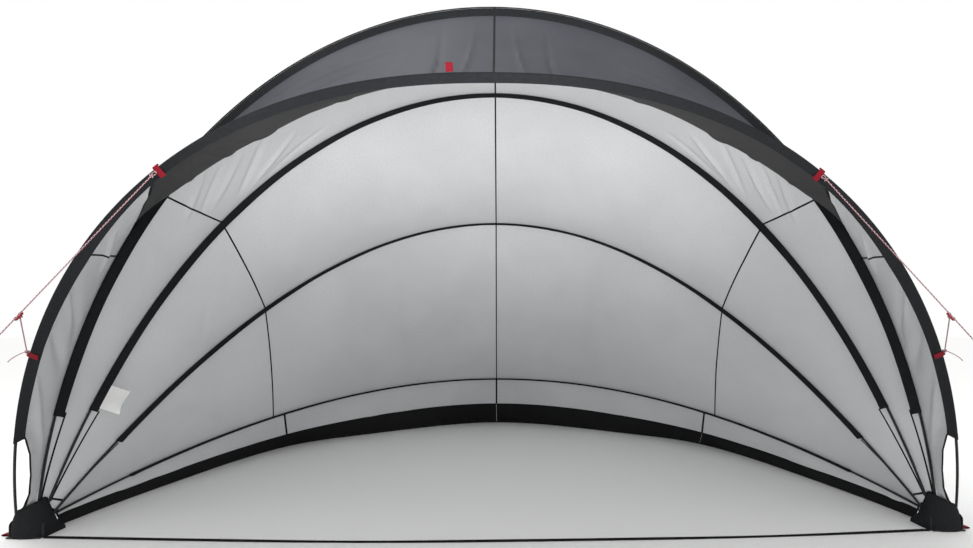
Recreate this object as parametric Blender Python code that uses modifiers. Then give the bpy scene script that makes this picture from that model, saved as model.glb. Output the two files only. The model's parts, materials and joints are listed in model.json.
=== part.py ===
"""Open-fronted pool dome: five bent poles fan from a pair of ground hubs, with fabric sewn between them.

The back of the dome looks along +Y, its open front along -Y, and Z is up from the ground. Every pole turns on
the axle line through the two hubs, so the dome folds back like a hood.
"""

import bmesh
import bpy
import numpy as np
from mathutils import Matrix, Vector

# Frame: the width is hub to hub, and every arch rises from the axle line
HALF_SPAN = 2.165
HUB_HEIGHT = 0.05
RISE = 2.46
FRONT_RISE = 1.927
POLE_RADIUS = 0.0055
POLE_PITCH = 0.016
AXLE_RADIUS = 0.004
POLE_END_GAP = 0.0022
SEAT_GAP = 0.0003

# Each arch: lean back from upright and splay of its ends, in degrees, its rise, its place on the axle counted
# inwards, and how square its bend is, where 2 is an ellipse
ARCHES = {
    "front": {"lean": -22.0, "splay": 24.2, "rise": FRONT_RISE, "place": -5.5, "squareness": 2.30},
    "top": {"lean": 0.0, "splay": 7.1, "rise": RISE, "place": 0, "squareness": 2.0},
    "middle": {"lean": 16.0, "splay": 11.7, "rise": RISE, "place": 1, "squareness": 2.0},
    "low": {"lean": 44.0, "splay": 17.1, "rise": RISE, "place": 2, "squareness": 2.0},
    "rear": {"lean": 80.6, "splay": 8.4, "rise": RISE, "place": -1, "squareness": 2.0},
}

# Sleeves: a flat pocket of fabric round each pole, deeper on its inner side
SLEEVE_START = 0.50
SLEEVE_OUTER = 0.0070
SLEEVE_HALF_WIDTH = 0.0066
SLEEVE_DEPTHS = {"front": 0.034, "top": 0.046, "middle": 0.038, "low": 0.034, "rear": 0.034}
SLEEVE_WALL = 0.0012

# Half of a sleeve's outline, as shares: of its crown outside the pole or its depth inside, and of its half width
SLEEVE_PROFILE = ((1.0, 0.5), (0.2, 1.0), (-0.45, 0.8), (-1.0, 0.35))

# Fabric panels between neighbouring arches, with how far each sags at its middle
FABRIC = 0.003
PANEL_START = 0.15
PANEL_DROP = 0.010
SAGS = {"front": 0.15, "top": 0.03, "middle": 0.04, "low": 0.05}
CROWN_TIGHTNESS = 0.35
SEAM_GAP_TURN = 0.009

# Shoulder seams of the front cloth: their angle along the front arch and along the top arch
SHOULDER_TURNS = (64.1, 38.8)

# Rear wall and ground skirt, whose foot is pegged outwards at the seams and at the middle
WALL_SEAM_TURN = 42.0
WALL_SEAM_GAP = 0.0009
SKIRT_HEIGHT = 0.20
SKIRT_HEIGHT_AT_HUB = 0.045
SKIRT_SHARE_AT_HUB = 0.8
SKIRT_FLAP = 0.05
FOOT_AT_MIDDLE = 0.15
FOOT_AT_SEAM = 0.19
FOOT_BETWEEN = 0.03
FLARE_WIDTH_MIDDLE = 17.0
FLARE_WIDTH_SEAM = 13.0
FLARE_SIDEWAYS = 0.35
WALL_FLARE_SHARE = 0.45

# Hubs, their fabric boots and the strap between them
HUB_LENGTH = 0.08
PLATE_THICKNESS = 0.006
CHEEK_THICKNESS = 0.005
CHEEK_LENGTH = 0.05
CHEEK_ABOVE_AXLE = 0.026
CHEEK_CLEARANCE = 0.006
SPLAY_ROOM = 0.005
JOIN_DEPTH = 0.001
BOOT_CLOTH = 0.002
BOOT_HEIGHT = 0.15
BOOT_FRONT = 0.045
BOOT_BACK = 0.10
BOOT_OUTER_ROOM = 0.0195
BOOT_INNER_ROOM = 0.028
BOOT_OUTER_LEAN = 0.0
BOOT_INNER_LEAN = 0.02
STRAP_RADIUS = 0.003
STRAP_BOW = 0.08
STRAP_SETBACK = 0.03
STRAP_SPANS = 12
STRAP_END_ROOM = 0.0025
TAB_LENGTH = 0.045
TAB_WIDTH = 0.025
TAB_CLOTH = 0.003
TAB_END_ROOM = 0.0015

# Guy lines: one from each shoulder of the front arch to a peg, with a tie from its slider back to the arch.
# The tags lie across the front face of the sleeve and reach a little past its outer edge.
GUY_RADIUS = 0.002
GUY_TURN = 64.1
TIE_TURN = 42.5
TAG_REACH = (-0.022, 0.014)
TAG_TIP = 0.009
GUY_TIP = 0.019
TOP_TAG_TURN = 92.2
TOP_TAG_LENGTH = 0.03
SLIDER_SHARE = 0.336
SLIDER_SIZE = (0.012, 0.012, 0.035)
PEG_SPREAD = 2.42
PEG_FORWARD = 0.80
PEG_RADIUS = 0.004
PEG_HEIGHT = 0.055
PEG_HITCH = 0.7
PEG_HOOK = ((0.0, 0.0), (0.0, 0.8), (0.2, 1.0), (0.5, 0.93))

# The blank label sewn to the foot of the middle sleeve
LABEL_SIZE = (0.112, 0.0015, 0.10)
LABEL_GAP = -0.0003
LABEL_FROM_SLEEVE_END = 0.115

# Mesh fineness
ARCH_SPANS = 28
BARE_SPANS = 3
SPAN_TURN = 5.5

REAR_REACH = (RISE - PANEL_DROP) * np.sin(np.radians(ARCHES["rear"]["lean"])) + FOOT_AT_MIDDLE + SKIRT_FLAP
FRONT_REACH = PEG_FORWARD + PEG_RADIUS
HUB_Y = (FRONT_REACH - REAR_REACH) / 2

for existing in list(bpy.data.objects):
    bpy.data.objects.remove(existing, do_unlink=True)


def collection(name):
    made = bpy.data.collections.new(name)
    bpy.context.scene.collection.children.link(made)
    return made


PARTS = collection("pool_dome")
CUTTERS = collection("cutters")


def material(name, colour, roughness, metallic=0.0):
    """A plain Principled material; colour is linear RGB."""
    made = bpy.data.materials.new(name)
    made.use_nodes = True
    shader = made.node_tree.nodes["Principled BSDF"]
    shader.inputs["Base Color"].default_value = (*colour, 1.0)
    shader.inputs["Roughness"].default_value = roughness
    shader.inputs["Metallic"].default_value = metallic
    made.diffuse_color = (*colour, 1.0)
    return made


SILVER = material("silver_fabric", (0.52, 0.53, 0.54), 0.55)
CHARCOAL = material("charcoal_fabric", (0.10, 0.10, 0.11), 0.75)
BLACK_FABRIC = material("black_fabric", (0.015, 0.015, 0.016), 0.8)
FIBREGLASS = material("fibreglass", (0.02, 0.02, 0.02), 0.35)
PLASTIC = material("black_plastic", (0.02, 0.02, 0.02), 0.5)
WEBBING = material("red_webbing", (0.50, 0.01, 0.03), 0.7)
ROPE = material("guy_rope", (0.45, 0.05, 0.07), 0.8)
STEEL = material("galvanised_steel", (0.45, 0.45, 0.46), 0.4, 1.0)
LABEL = material("label_cloth", (0.8, 0.8, 0.8), 0.6)


def add_object(name, data, finish, home=PARTS):
    made = bpy.data.objects.new(name, data)
    home.objects.link(made)
    data.materials.append(finish)
    return made


def half_span(arch):
    """Each pole end has its own place on the axle, so the arches differ a little in width."""
    return HALF_SPAN - arch["place"] * POLE_PITCH


def squared(arch, share):
    """A sine or a cosine, drawn out to suit how square the arch's bend is."""
    return np.sign(share) * abs(share) ** (2 / arch["squareness"])


def reach(arch, turn):
    """Distance from the axle line, in the arch's own plane, at an angle along its bend."""
    splay = squared(arch, np.sin(np.radians(arch["splay"])))
    return arch["rise"] * (squared(arch, np.sin(np.radians(turn))) - splay) / (1 - splay)


def turn_at(arch, distance):
    """The angle at which an arch has come this far from the axle line, on its right half."""
    splay = squared(arch, np.sin(np.radians(arch["splay"])))
    share = distance * (1 - splay) / arch["rise"] + splay
    return np.degrees(np.arcsin(share ** (arch["squareness"] / 2)))


def square_to(arch):
    """The direction square to an arch's plane, away from the front."""
    lean = np.radians(arch["lean"])
    return Vector((0.0, np.cos(lean), -np.sin(lean)))


def arch_point(arch, turn, out=0.0, back=0.0):
    """A point of an arch: out is along its outward normal in its plane, and back is square to that plane."""
    angle, splay = np.radians(turn), np.radians(arch["splay"])
    width = half_span(arch) / squared(arch, np.cos(splay))
    height = arch["rise"] / (1 - squared(arch, np.sin(splay)))
    across, up = squared(arch, np.cos(angle)), squared(arch, np.sin(angle))
    x, r = width * across, reach(arch, turn)
    steep = arch["squareness"] - 1
    normal = np.array([height * np.sign(across) * abs(across) ** steep, width * up**steep])
    normal /= np.linalg.norm(normal)
    x, r = x + out * normal[0], r + out * normal[1]
    lean = np.radians(arch["lean"])
    return Vector((x, HUB_Y + r * np.sin(lean), HUB_HEIGHT + r * np.cos(lean))) + back * square_to(arch)


def sleeve_turns(arch):
    """The angles at which the sleeve's cross-sections stand."""
    start = turn_at(arch, SLEEVE_START)
    return np.linspace(start, 180 - start, ARCH_SPANS + 1)


def sleeve_point(arch, turn, out=0.0, back=0.0):
    """As arch_point, but on the straight run between the sleeve's two nearest cross-sections."""
    turns = sleeve_turns(arch)
    place = (turn - turns[0]) / (turns[1] - turns[0])
    near = int(np.clip(np.floor(place), 0, ARCH_SPANS - 1))
    ends = [arch_point(arch, turns[i], out, back) for i in (near, near + 1)]
    return ends[0].lerp(ends[1], place - near)


def sheet(name, place, along, across, thickness, finish, closed=False, even=True):
    """A grid carried to place(u, v), with u and v from 0 to 1, and given its thickness about that surface."""
    mesh = bpy.data.meshes.new(name)
    grid = bmesh.new()
    bmesh.ops.create_grid(grid, x_segments=along, y_segments=across, size=1.0)
    for vertex in grid.verts:
        vertex.co = place((vertex.co.x + 1) / 2, (vertex.co.y + 1) / 2)
    if closed:
        bmesh.ops.remove_doubles(grid, verts=grid.verts, dist=1e-5)
    bmesh.ops.recalc_face_normals(grid, faces=grid.faces)
    grid.to_mesh(mesh)
    grid.free()
    made = add_object(name, mesh, finish)
    solid = made.modifiers.new("thickness", "SOLIDIFY")
    solid.thickness = thickness
    solid.offset = 0.0
    solid.use_even_offset = even
    return made


def tube(name, points, radius, finish):
    """A round rod along straight runs between points."""
    curve = bpy.data.curves.new(name, "CURVE")
    curve.dimensions = "3D"
    curve.bevel_depth = radius
    curve.bevel_resolution = 2
    curve.use_fill_caps = True
    spline = curve.splines.new("POLY")
    spline.points.add(len(points) - 1)
    for knot, point in zip(spline.points, points):
        knot.co = (*point, 1.0)
    return add_object(name, curve, finish)


def box(name, centre, size, finish, home=PARTS, turn=None):
    """A block of this size about its centre, turned by a matrix before it is placed."""
    mesh = bpy.data.meshes.new(name)
    block = bmesh.new()
    bmesh.ops.create_cube(block, size=1.0)
    bmesh.ops.scale(block, vec=size, verts=block.verts)
    if turn is not None:
        bmesh.ops.transform(block, matrix=turn, verts=block.verts)
    block.to_mesh(mesh)
    block.free()
    made = add_object(name, mesh, finish, home)
    made.location = centre
    return made


def join_to(base, tool):
    """Joins a tool body to a base with a live Boolean union."""
    tool.hide_render = True
    tool.display_type = "WIRE"
    union = base.modifiers.new(tool.name, "BOOLEAN")
    union.operation = "UNION"
    union.object = tool


def pole(name, arch):
    """The bent pole, from the axle of one hub over to the other."""
    foot, covered = turn_at(arch, AXLE_RADIUS + POLE_END_GAP), sleeve_turns(arch)
    bare = np.linspace(foot, covered[0], BARE_SPANS, endpoint=False)
    turns = np.concatenate([bare, covered, 180 - bare[::-1]])
    return tube(name, [arch_point(arch, turn) for turn in turns], POLE_RADIUS, FIBREGLASS)


def sleeve_outline(depth):
    """The sleeve's closed outline: round over the pole and drawn in to its inner edge."""
    half = [
        (share * (SLEEVE_OUTER if share > 0 else depth), wide * SLEEVE_HALF_WIDTH) for share, wide in SLEEVE_PROFILE
    ]
    return half + [(out, -back) for out, back in reversed(half)]


def sleeve(name, arch, depth):
    """The pocket of cloth that the pole runs through."""
    turns, outline = sleeve_turns(arch), sleeve_outline(depth)

    def place(u, v):
        out, back = outline[round(v * len(outline)) % len(outline)]
        return arch_point(arch, turns[round(u * ARCH_SPANS)], out, back)

    return sheet(name, place, ARCH_SPANS, len(outline), SLEEVE_WALL, BLACK_FABRIC, closed=True, even=False)


def edge_margin(arch, run):
    """How far from the pole cloth that runs off along run has its edge, so that it just clears the sleeve."""
    tilt = run.normalized().cross(square_to(arch)).length
    return SLEEVE_HALF_WIDTH + SEAT_GAP + tilt * FABRIC / 2


def panel_point(fore, aft, sag, turns, share):
    """A point of the cloth between two arches: share 0 is at the fore arch and 1 at the aft arch.

    The cloth is drawn tight along the arches and hangs in towards the axle between them.
    """
    a, b = (arch_point(arch, turn, -PANEL_DROP) for arch, turn in zip((fore, aft), turns))
    inward_a = arch_point(fore, turns[0], -PANEL_DROP - 1.0) - a
    inward_b = arch_point(aft, turns[1], -PANEL_DROP - 1.0) - b
    inward = inward_a.lerp(inward_b, share).normalized()
    height = np.sin(np.radians(turns[1]))
    slope = 4 * sag * height**2 * (1 - CROWN_TIGHTNESS * height**8)
    a_edge = a + square_to(fore) * edge_margin(fore, b - a + inward_a * slope)
    b_edge = b - square_to(aft) * edge_margin(aft, b - a - inward_b * slope)
    return a_edge.lerp(b_edge, share) + inward * (slope * share * (1 - share))


def whole_arch(arch):
    """The angles between which cloth is sewn along an arch."""
    start = turn_at(arch, PANEL_START)
    return start, 180 - start


def panel(name, fore, aft, sag, finish, fore_turns, aft_turns, across=5):
    """The cloth between two arches, from the first to the last angle along each."""
    spans = round((fore_turns[1] - fore_turns[0]) / SPAN_TURN)

    def place(u, v):
        turns = [first + u * (last - first) for first, last in (fore_turns, aft_turns)]
        return panel_point(fore, aft, sag, turns, v)

    return sheet(name, place, spans, across, FABRIC, finish)


def foot_flare(turn):
    """How far the skirt's foot stands outside the rear pole: most at the middle and at the two seams."""
    middle = np.exp(-(((turn - 90) / FLARE_WIDTH_MIDDLE) ** 2))
    seams = sum(np.exp(-(((turn - at) / FLARE_WIDTH_SEAM) ** 2)) for at in (WALL_SEAM_TURN, 180 - WALL_SEAM_TURN))
    ends = np.clip((np.sin(np.radians(turn)) - 0.2) / 0.3, 0, 1)
    return ends * (FOOT_BETWEEN + (FOOT_AT_MIDDLE - FOOT_BETWEEN) * middle + (FOOT_AT_SEAM - FOOT_BETWEEN) * seams)


def skirt_top(turn):
    """Height at which the wall's silver cloth meets the black skirt."""
    return SKIRT_HEIGHT_AT_HUB + (SKIRT_HEIGHT - SKIRT_HEIGHT_AT_HUB) * np.sin(np.radians(turn)) ** 2


def wall_levels(turn):
    """Points of the rear wall at one turn along the rear pole: pole, top of the skirt, foot and edge of the flap."""
    arch = ARCHES["rear"]
    outward = Vector((FLARE_SIDEWAYS * np.cos(np.radians(turn)), 1.0, 0.0)).normalized()
    hung_from = arch_point(arch, turn, -PANEL_DROP)
    foot = hung_from + outward * foot_flare(turn)
    foot.z = FABRIC / 2 + SEAT_GAP
    hung_from += square_to(arch) * edge_margin(arch, foot - hung_from)
    top = hung_from.lerp(foot, WALL_FLARE_SHARE)
    top.z = min(skirt_top(turn), SKIRT_SHARE_AT_HUB * hung_from.z)
    return hung_from, top, foot, foot + outward * SKIRT_FLAP


def bay_spans(turns):
    return round((turns[1] - turns[0]) / SPAN_TURN)


def rear_wall(name, turns):
    """Silver cloth from the rear pole down to the skirt, over one bay."""

    def place(u, v):
        hung_from, top, _, _ = wall_levels(turns[0] + u * (turns[1] - turns[0]))
        return hung_from.lerp(top + Vector((0, 0, WALL_SEAM_GAP)), v)

    return sheet(name, place, bay_spans(turns), 1, FABRIC, SILVER)


def skirt(name, turns):
    """Black skirt down to the ground, with its flap lying outwards on the ground."""

    def place(u, v):
        _, top, foot, flap = wall_levels(turns[0] + u * (turns[1] - turns[0]))
        return (top, top.lerp(foot, 0.5), foot, flap)[round(v * 3)]

    return sheet(name, place, bay_spans(turns), 3, FABRIC, BLACK_FABRIC)


def cheek_faces():
    """Where the hub's two cheeks face each other, from the dome's middle."""
    inner = half_span(ARCHES["low"]) - POLE_RADIUS - CHEEK_CLEARANCE - SPLAY_ROOM
    return inner, half_span(ARCHES["front"]) + POLE_RADIUS + CHEEK_CLEARANCE


def hub(name, side):
    """A ground bracket: a foot plate with two upright cheeks that hold the axle between them."""
    inner, outer = cheek_faces()
    middle, foot_z = side * (inner + outer) / 2, BOOT_CLOTH + SEAT_GAP
    plate_size = (outer - inner + 2 * CHEEK_THICKNESS, HUB_LENGTH, PLATE_THICKNESS)
    made = box(name, (middle, HUB_Y, foot_z + PLATE_THICKNESS / 2), plate_size, PLASTIC)
    cheek_foot = foot_z + JOIN_DEPTH
    cheek_size = (CHEEK_THICKNESS, CHEEK_LENGTH, HUB_HEIGHT + CHEEK_ABOVE_AXLE - cheek_foot)
    for label_name, x in (("inner", inner - CHEEK_THICKNESS / 2), ("outer", outer + CHEEK_THICKNESS / 2)):
        centre = (side * x, HUB_Y, cheek_foot + cheek_size[2] / 2)
        join_to(made, box(f"{name}_{label_name}_cheek", centre, cheek_size, PLASTIC, CUTTERS))
    return made


def axle(name, side):
    """The rod between a hub's cheeks that carries the pole ends."""
    ends = [Vector((side * x, HUB_Y, HUB_HEIGHT)) for x in (cheek_faces()[0] + SEAT_GAP, cheek_faces()[1] - SEAT_GAP)]
    return tube(name, ends, AXLE_RADIUS, STEEL)


def boot_outer():
    """Where the outer side of a boot stands on the ground, from the dome's middle."""
    return half_span(ARCHES["front"]) + BOOT_OUTER_ROOM


def boot_inner():
    """Where the inner side of a boot stands on the ground, from the dome's middle."""
    return half_span(ARCHES["low"]) - BOOT_INNER_ROOM


def boot(name, side):
    """A fabric boot folded under the hub, with an inner and an outer flap that the poles pass between."""
    outline = [
        (boot_outer() + BOOT_OUTER_LEAN, BOOT_HEIGHT),
        (boot_outer(), BOOT_CLOTH / 2),
        (boot_inner(), BOOT_CLOTH / 2),
        (boot_inner() - BOOT_INNER_LEAN, BOOT_HEIGHT),
    ]

    def place(u, v):
        x, z = outline[round(u * 3)]
        return Vector((side * x, HUB_Y - BOOT_FRONT + v * (BOOT_FRONT + BOOT_BACK), z))

    return sheet(name, place, 3, 1, BOOT_CLOTH, BLACK_FABRIC)


def hub_tab(name, side):
    """A webbing tab that lies on the ground outside the boot."""
    centre = (side * (boot_outer() + TAB_END_ROOM + TAB_LENGTH / 2), HUB_Y, TAB_CLOTH / 2)
    return box(name, centre, (TAB_LENGTH, TAB_WIDTH, TAB_CLOTH), WEBBING)


def facing(across, along):
    """A rotation that takes Y to across and Z to along, which are square to each other."""
    return Matrix((across.cross(along), across, along)).transposed().to_4x4()


def tag(name, turn, span, behind=0.0):
    """A short webbing tag over this span out from the front pole; gives its tip, its outward way and the way back."""
    arch = ARCHES["front"]
    root, tip = (sleeve_point(arch, turn, out, behind) for out in span)
    out, back = (tip - root).normalized(), square_to(arch)
    box(name, (root + tip) / 2, (TAB_WIDTH, TAB_CLOTH, (tip - root).length), WEBBING, turn=facing(back, out))
    return tip, out, back


def line_end(face, normal, run):
    """Where a line running along run ends, so that its flat end just clears a face with this normal."""
    tilt = np.sqrt(max(0.0, 1 - run.dot(normal) ** 2))
    return face + normal * (GUY_RADIUS * tilt + SEAT_GAP)


def line(name, first, first_normal, last, last_normal):
    """A taut line between two faces."""
    run = (last - first).normalized()
    ends = line_end(first, first_normal, run), line_end(last, last_normal, run)
    tube(name, [ends[0], ends[0].lerp(ends[1], 0.5), ends[1]], GUY_RADIUS, ROPE)
    return ends


def guy(side_name, side):
    """Upper and lower tags, the guy line to its peg, the slider on it and the tie back to the lower tag."""
    guy_turn, tie_turn = (GUY_TURN, TIE_TURN) if side > 0 else (180 - GUY_TURN, 180 - TIE_TURN)
    on_face = -(SLEEVE_HALF_WIDTH + SLEEVE_WALL / 2 + SEAT_GAP + TAB_CLOTH / 2)
    top, out, back = tag(f"guy_tag_{side_name}", guy_turn, TAG_REACH, on_face)
    low, low_out, _ = tag(f"tie_tag_{side_name}", tie_turn, TAG_REACH, on_face)
    downhill = back.cross(out) * side
    start = top - out * GUY_TIP - back * (TAB_CLOTH / 4) + downhill * (TAB_WIDTH / 2)
    peg = Vector((side * PEG_SPREAD, HUB_Y - PEG_FORWARD, 0.0))
    to_dome = Vector((-side, 0.0, 0.0))
    hitch = peg + to_dome * PEG_RADIUS + Vector((0, 0, PEG_HITCH * PEG_HEIGHT))
    first, last = line(f"guy_line_{side_name}", start, downhill, hitch, to_dome)
    run = (last - first).normalized()
    low_face = low - low_out * TAG_TIP - back * (TAB_CLOTH / 2)
    crossing = first.lerp(last, SLIDER_SHARE)
    beside = low_face - crossing
    beside = (beside - run * beside.dot(run)).normalized()
    seat = crossing + beside * (GUY_RADIUS + SLIDER_SIZE[0] / 2 + SEAT_GAP)
    box(f"slider_{side_name}", seat, SLIDER_SIZE, WEBBING, turn=facing(beside, run))
    line(f"tie_line_{side_name}", seat + beside * (SLIDER_SIZE[0] / 2), beside, low_face, -back)
    hook = [peg + (Vector((0, 0, up)) - to_dome * away) * PEG_HEIGHT for away, up in PEG_HOOK]
    tube(f"peg_{side_name}", hook, PEG_RADIUS, STEEL)


def ground_strap():
    """The strap that holds the hubs apart, lying on the ground and bowed a little to the front."""
    end = boot_inner() - STRAP_END_ROOM
    shares = np.linspace(-1, 1, STRAP_SPANS + 1)
    points = [Vector((end * s, HUB_Y - STRAP_SETBACK - STRAP_BOW * (1 - s**2), STRAP_RADIUS)) for s in shares]
    return tube("ground_strap", points, STRAP_RADIUS, BLACK_FABRIC)


def care_label():
    """A small blank cloth label hanging from the foot of the middle sleeve, on the left."""
    arch = ARCHES["middle"]
    turn = 180 - turn_at(arch, SLEEVE_START + LABEL_FROM_SLEEVE_END)
    depth = SLEEVE_DEPTHS["middle"] + SLEEVE_WALL
    centre = sleeve_point(arch, turn, -depth - LABEL_SIZE[2] / 2 - LABEL_GAP)
    out = (sleeve_point(arch, turn, 1) - sleeve_point(arch, turn)).normalized()
    return box("care_label", centre, LABEL_SIZE, LABEL, turn=facing(square_to(arch), out))


for arch_name, arch_sizes in ARCHES.items():
    pole(f"{arch_name}_pole", arch_sizes)
    sleeve(f"{arch_name}_sleeve", arch_sizes, SLEEVE_DEPTHS[arch_name])

for fore_name, aft_name in (("top", "middle"), ("middle", "low"), ("low", "rear")):
    fore_arch, aft_arch = ARCHES[fore_name], ARCHES[aft_name]
    panel(
        f"{fore_name}_panel",
        fore_arch,
        aft_arch,
        SAGS[fore_name],
        SILVER,
        whole_arch(fore_arch),
        whole_arch(aft_arch),
    )

# The front cloth is a dark awning over the middle half and a wing at each side, sewn at the shoulder seams
for panel_name, finish, from_end in (
    ("front_wing_right", SILVER, True),
    ("front_awning", CHARCOAL, None),
    ("front_wing_left", SILVER, False),
):
    bounds = []
    for arch_name, seam in zip(("front", "top"), SHOULDER_TURNS):
        first, last = whole_arch(ARCHES[arch_name])
        if from_end is None:
            bounds.append((seam + SEAM_GAP_TURN, 180 - seam - SEAM_GAP_TURN))
        elif from_end:
            bounds.append((first, seam - SEAM_GAP_TURN))
        else:
            bounds.append((180 - seam + SEAM_GAP_TURN, last))
    panel(panel_name, ARCHES["front"], ARCHES["top"], SAGS["front"], finish, *bounds, across=6)

wall_first, wall_last = whole_arch(ARCHES["rear"])
for bay_name, first, last in (
    ("right_side", wall_first, WALL_SEAM_TURN - SEAM_GAP_TURN),
    ("right_back", WALL_SEAM_TURN + SEAM_GAP_TURN, 90 - SEAM_GAP_TURN),
    ("left_back", 90 + SEAM_GAP_TURN, 180 - WALL_SEAM_TURN - SEAM_GAP_TURN),
    ("left_side", 180 - WALL_SEAM_TURN + SEAM_GAP_TURN, wall_last),
):
    rear_wall(f"wall_{bay_name}", (first, last))
    skirt(f"skirt_{bay_name}", (first, last))

for side_name, side in (("left", -1), ("right", 1)):
    hub(f"hub_{side_name}", side)
    axle(f"axle_{side_name}", side)
    boot(f"boot_{side_name}", side)
    hub_tab(f"hub_tab_{side_name}", side)
    guy(side_name, side)

ground_strap()
top_tag_foot = SLEEVE_OUTER + SLEEVE_WALL / 2 + SEAT_GAP
tag("top_tag", TOP_TAG_TURN, (top_tag_foot, top_tag_foot + TOP_TAG_LENGTH))
care_label()
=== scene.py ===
# Pool dome: five bent poles on a pair of ground hubs, with silver cloth sewn between them

import json
import math

import bpy
import numpy as np
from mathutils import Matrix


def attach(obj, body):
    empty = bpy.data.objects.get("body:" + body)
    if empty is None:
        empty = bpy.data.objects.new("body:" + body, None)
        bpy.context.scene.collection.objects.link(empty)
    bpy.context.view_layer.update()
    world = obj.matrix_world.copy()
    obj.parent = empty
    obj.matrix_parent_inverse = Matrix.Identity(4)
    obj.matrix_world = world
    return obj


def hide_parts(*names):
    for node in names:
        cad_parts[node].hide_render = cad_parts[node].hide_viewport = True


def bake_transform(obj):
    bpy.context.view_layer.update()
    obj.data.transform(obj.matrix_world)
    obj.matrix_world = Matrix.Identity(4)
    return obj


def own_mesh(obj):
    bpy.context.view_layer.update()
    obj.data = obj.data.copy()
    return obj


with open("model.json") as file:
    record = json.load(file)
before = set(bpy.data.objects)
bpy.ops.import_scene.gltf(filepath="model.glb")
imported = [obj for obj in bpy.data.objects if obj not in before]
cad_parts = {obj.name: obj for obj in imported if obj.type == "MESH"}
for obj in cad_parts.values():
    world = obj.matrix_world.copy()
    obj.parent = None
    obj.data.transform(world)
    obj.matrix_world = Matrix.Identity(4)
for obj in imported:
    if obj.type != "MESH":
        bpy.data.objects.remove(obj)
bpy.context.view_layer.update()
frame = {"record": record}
# The line that every pole turns on
axle = np.array(frame["record"]["behaviour"]["joints"][0]["pos_m"], float)
print("frame loaded, axle at", axle.round(3))


def addObject(name, data):
    thing = bpy.data.objects.new(name, data)
    bpy.context.scene.collection.objects.link(thing)
    return thing


# Camera, at the photo's viewing angle: standing just outside the open front, 2.4 m from the axle line
cameraSettings = {
    "place": (0.019, axle[1] - 2.365, 1.011),
    "turn": (90.0, 0.0, -1.06),
    "focalLength": 18.196,
    "sensorWidth": 36.0,
    "shift": (-0.0216, 0.0490),
}
cameraData = bpy.data.cameras.new("camera")
cameraData.lens = cameraSettings["focalLength"]
cameraData.sensor_width = cameraSettings["sensorWidth"]
cameraData.shift_x, cameraData.shift_y = cameraSettings["shift"]
cameraData.clip_start = 0.02
camera = addObject("camera", cameraData)
camera.location = cameraSettings["place"]
camera.rotation_euler = [math.radians(angle) for angle in cameraSettings["turn"]]
bpy.context.scene.camera = camera
print("camera set")

# Each arch: lean back from upright and splay of its foot in degrees, rise and half span in metres, and
# squareness of its bend, where 2 is an ellipse
arches = {
    "front": {"lean": -22.0, "splay": 24.2, "rise": 1.927, "span": 2.253, "square": 2.30},
    "top": {"lean": 0.0, "splay": 7.1, "rise": 2.46, "span": 2.165, "square": 2.0},
    "middle": {"lean": 16.0, "splay": 11.7, "rise": 2.46, "span": 2.149, "square": 2.0},
    "low": {"lean": 44.0, "splay": 17.1, "rise": 2.46, "span": 2.133, "square": 2.0},
    "rear": {"lean": 80.6, "splay": 8.4, "rise": 2.46, "span": 2.181, "square": 2.0},
}
bodies = {name: "root" if name == "rear" else f"{name}_arch" for name in arches}


def unit(vectors):
    return vectors / np.linalg.norm(vectors, axis=-1, keepdims=True)


def smooth(share):
    # Smoothstep: 3s^2 - 2s^3 between 0 and 1
    share = np.clip(share, 0, 1)
    return share * share * (3 - 2 * share)


def stacked(*columns):
    return np.stack(np.broadcast_arrays(*columns), -1)


def grids(u, v):
    return np.broadcast_arrays(np.asarray(u, float), np.asarray(v, float))


def archPoint(arch, turn, out=0.0, back=0.0):
    # Superellipse over the axle: x is w times cos t to the power 2/n, and the distance from the axle is h
    # times (sin t to the power 2/n, less its value at the foot). Out is along the outward normal in the
    # arch's plane and back is square to that plane, which is then leaned back.
    turn, out, back = np.broadcast_arrays(np.radians(turn), out, back)
    squareness, foot = arch["square"], math.radians(arch["splay"])
    power = 2 / squareness
    width = arch["span"] / math.cos(foot) ** power
    height = arch["rise"] / (1 - math.sin(foot) ** power)
    across = np.sign(np.cos(turn)) * np.abs(np.cos(turn)) ** power
    up = np.abs(np.sin(turn)) ** power
    steep = squareness - 1
    normal = unit(stacked(height * np.sign(across) * np.abs(across) ** steep, width * up**steep))
    x = width * across + out * normal[..., 0]
    r = height * (up - math.sin(foot) ** power) + out * normal[..., 1]
    lean = math.radians(arch["lean"])
    y = axle[1] + r * math.sin(lean) + back * math.cos(lean)
    z = axle[2] + r * math.cos(lean) - back * math.sin(lean)
    return stacked(x, y, z)


def archFrame(arch, turns):
    # Points on an arch's middle line, with the directions outwards and back at each
    middle = archPoint(arch, turns)
    return middle, unit(archPoint(arch, turns, 1.0) - middle), unit(archPoint(arch, turns, 0.0, 1.0) - middle)


def turnAt(arch, distance):
    # The angle at which an arch has come this far from the axle, on its right half
    power = 2 / arch["square"]
    foot = math.sin(math.radians(arch["splay"])) ** power
    share = np.asarray(distance) * (1 - foot) / arch["rise"] + foot
    return np.degrees(np.arcsin(share ** (1 / power)))


def turnsFrom(arch, distance):
    # The angles at this distance from the axle, on the right and on the left
    first = float(turnAt(arch, distance))
    return first, 180 - first


def distances(points):
    # Length along a line of points, up to each of them
    return np.concatenate([[0], np.cumsum(np.linalg.norm(np.diff(points, axis=0), axis=-1))])


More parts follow.
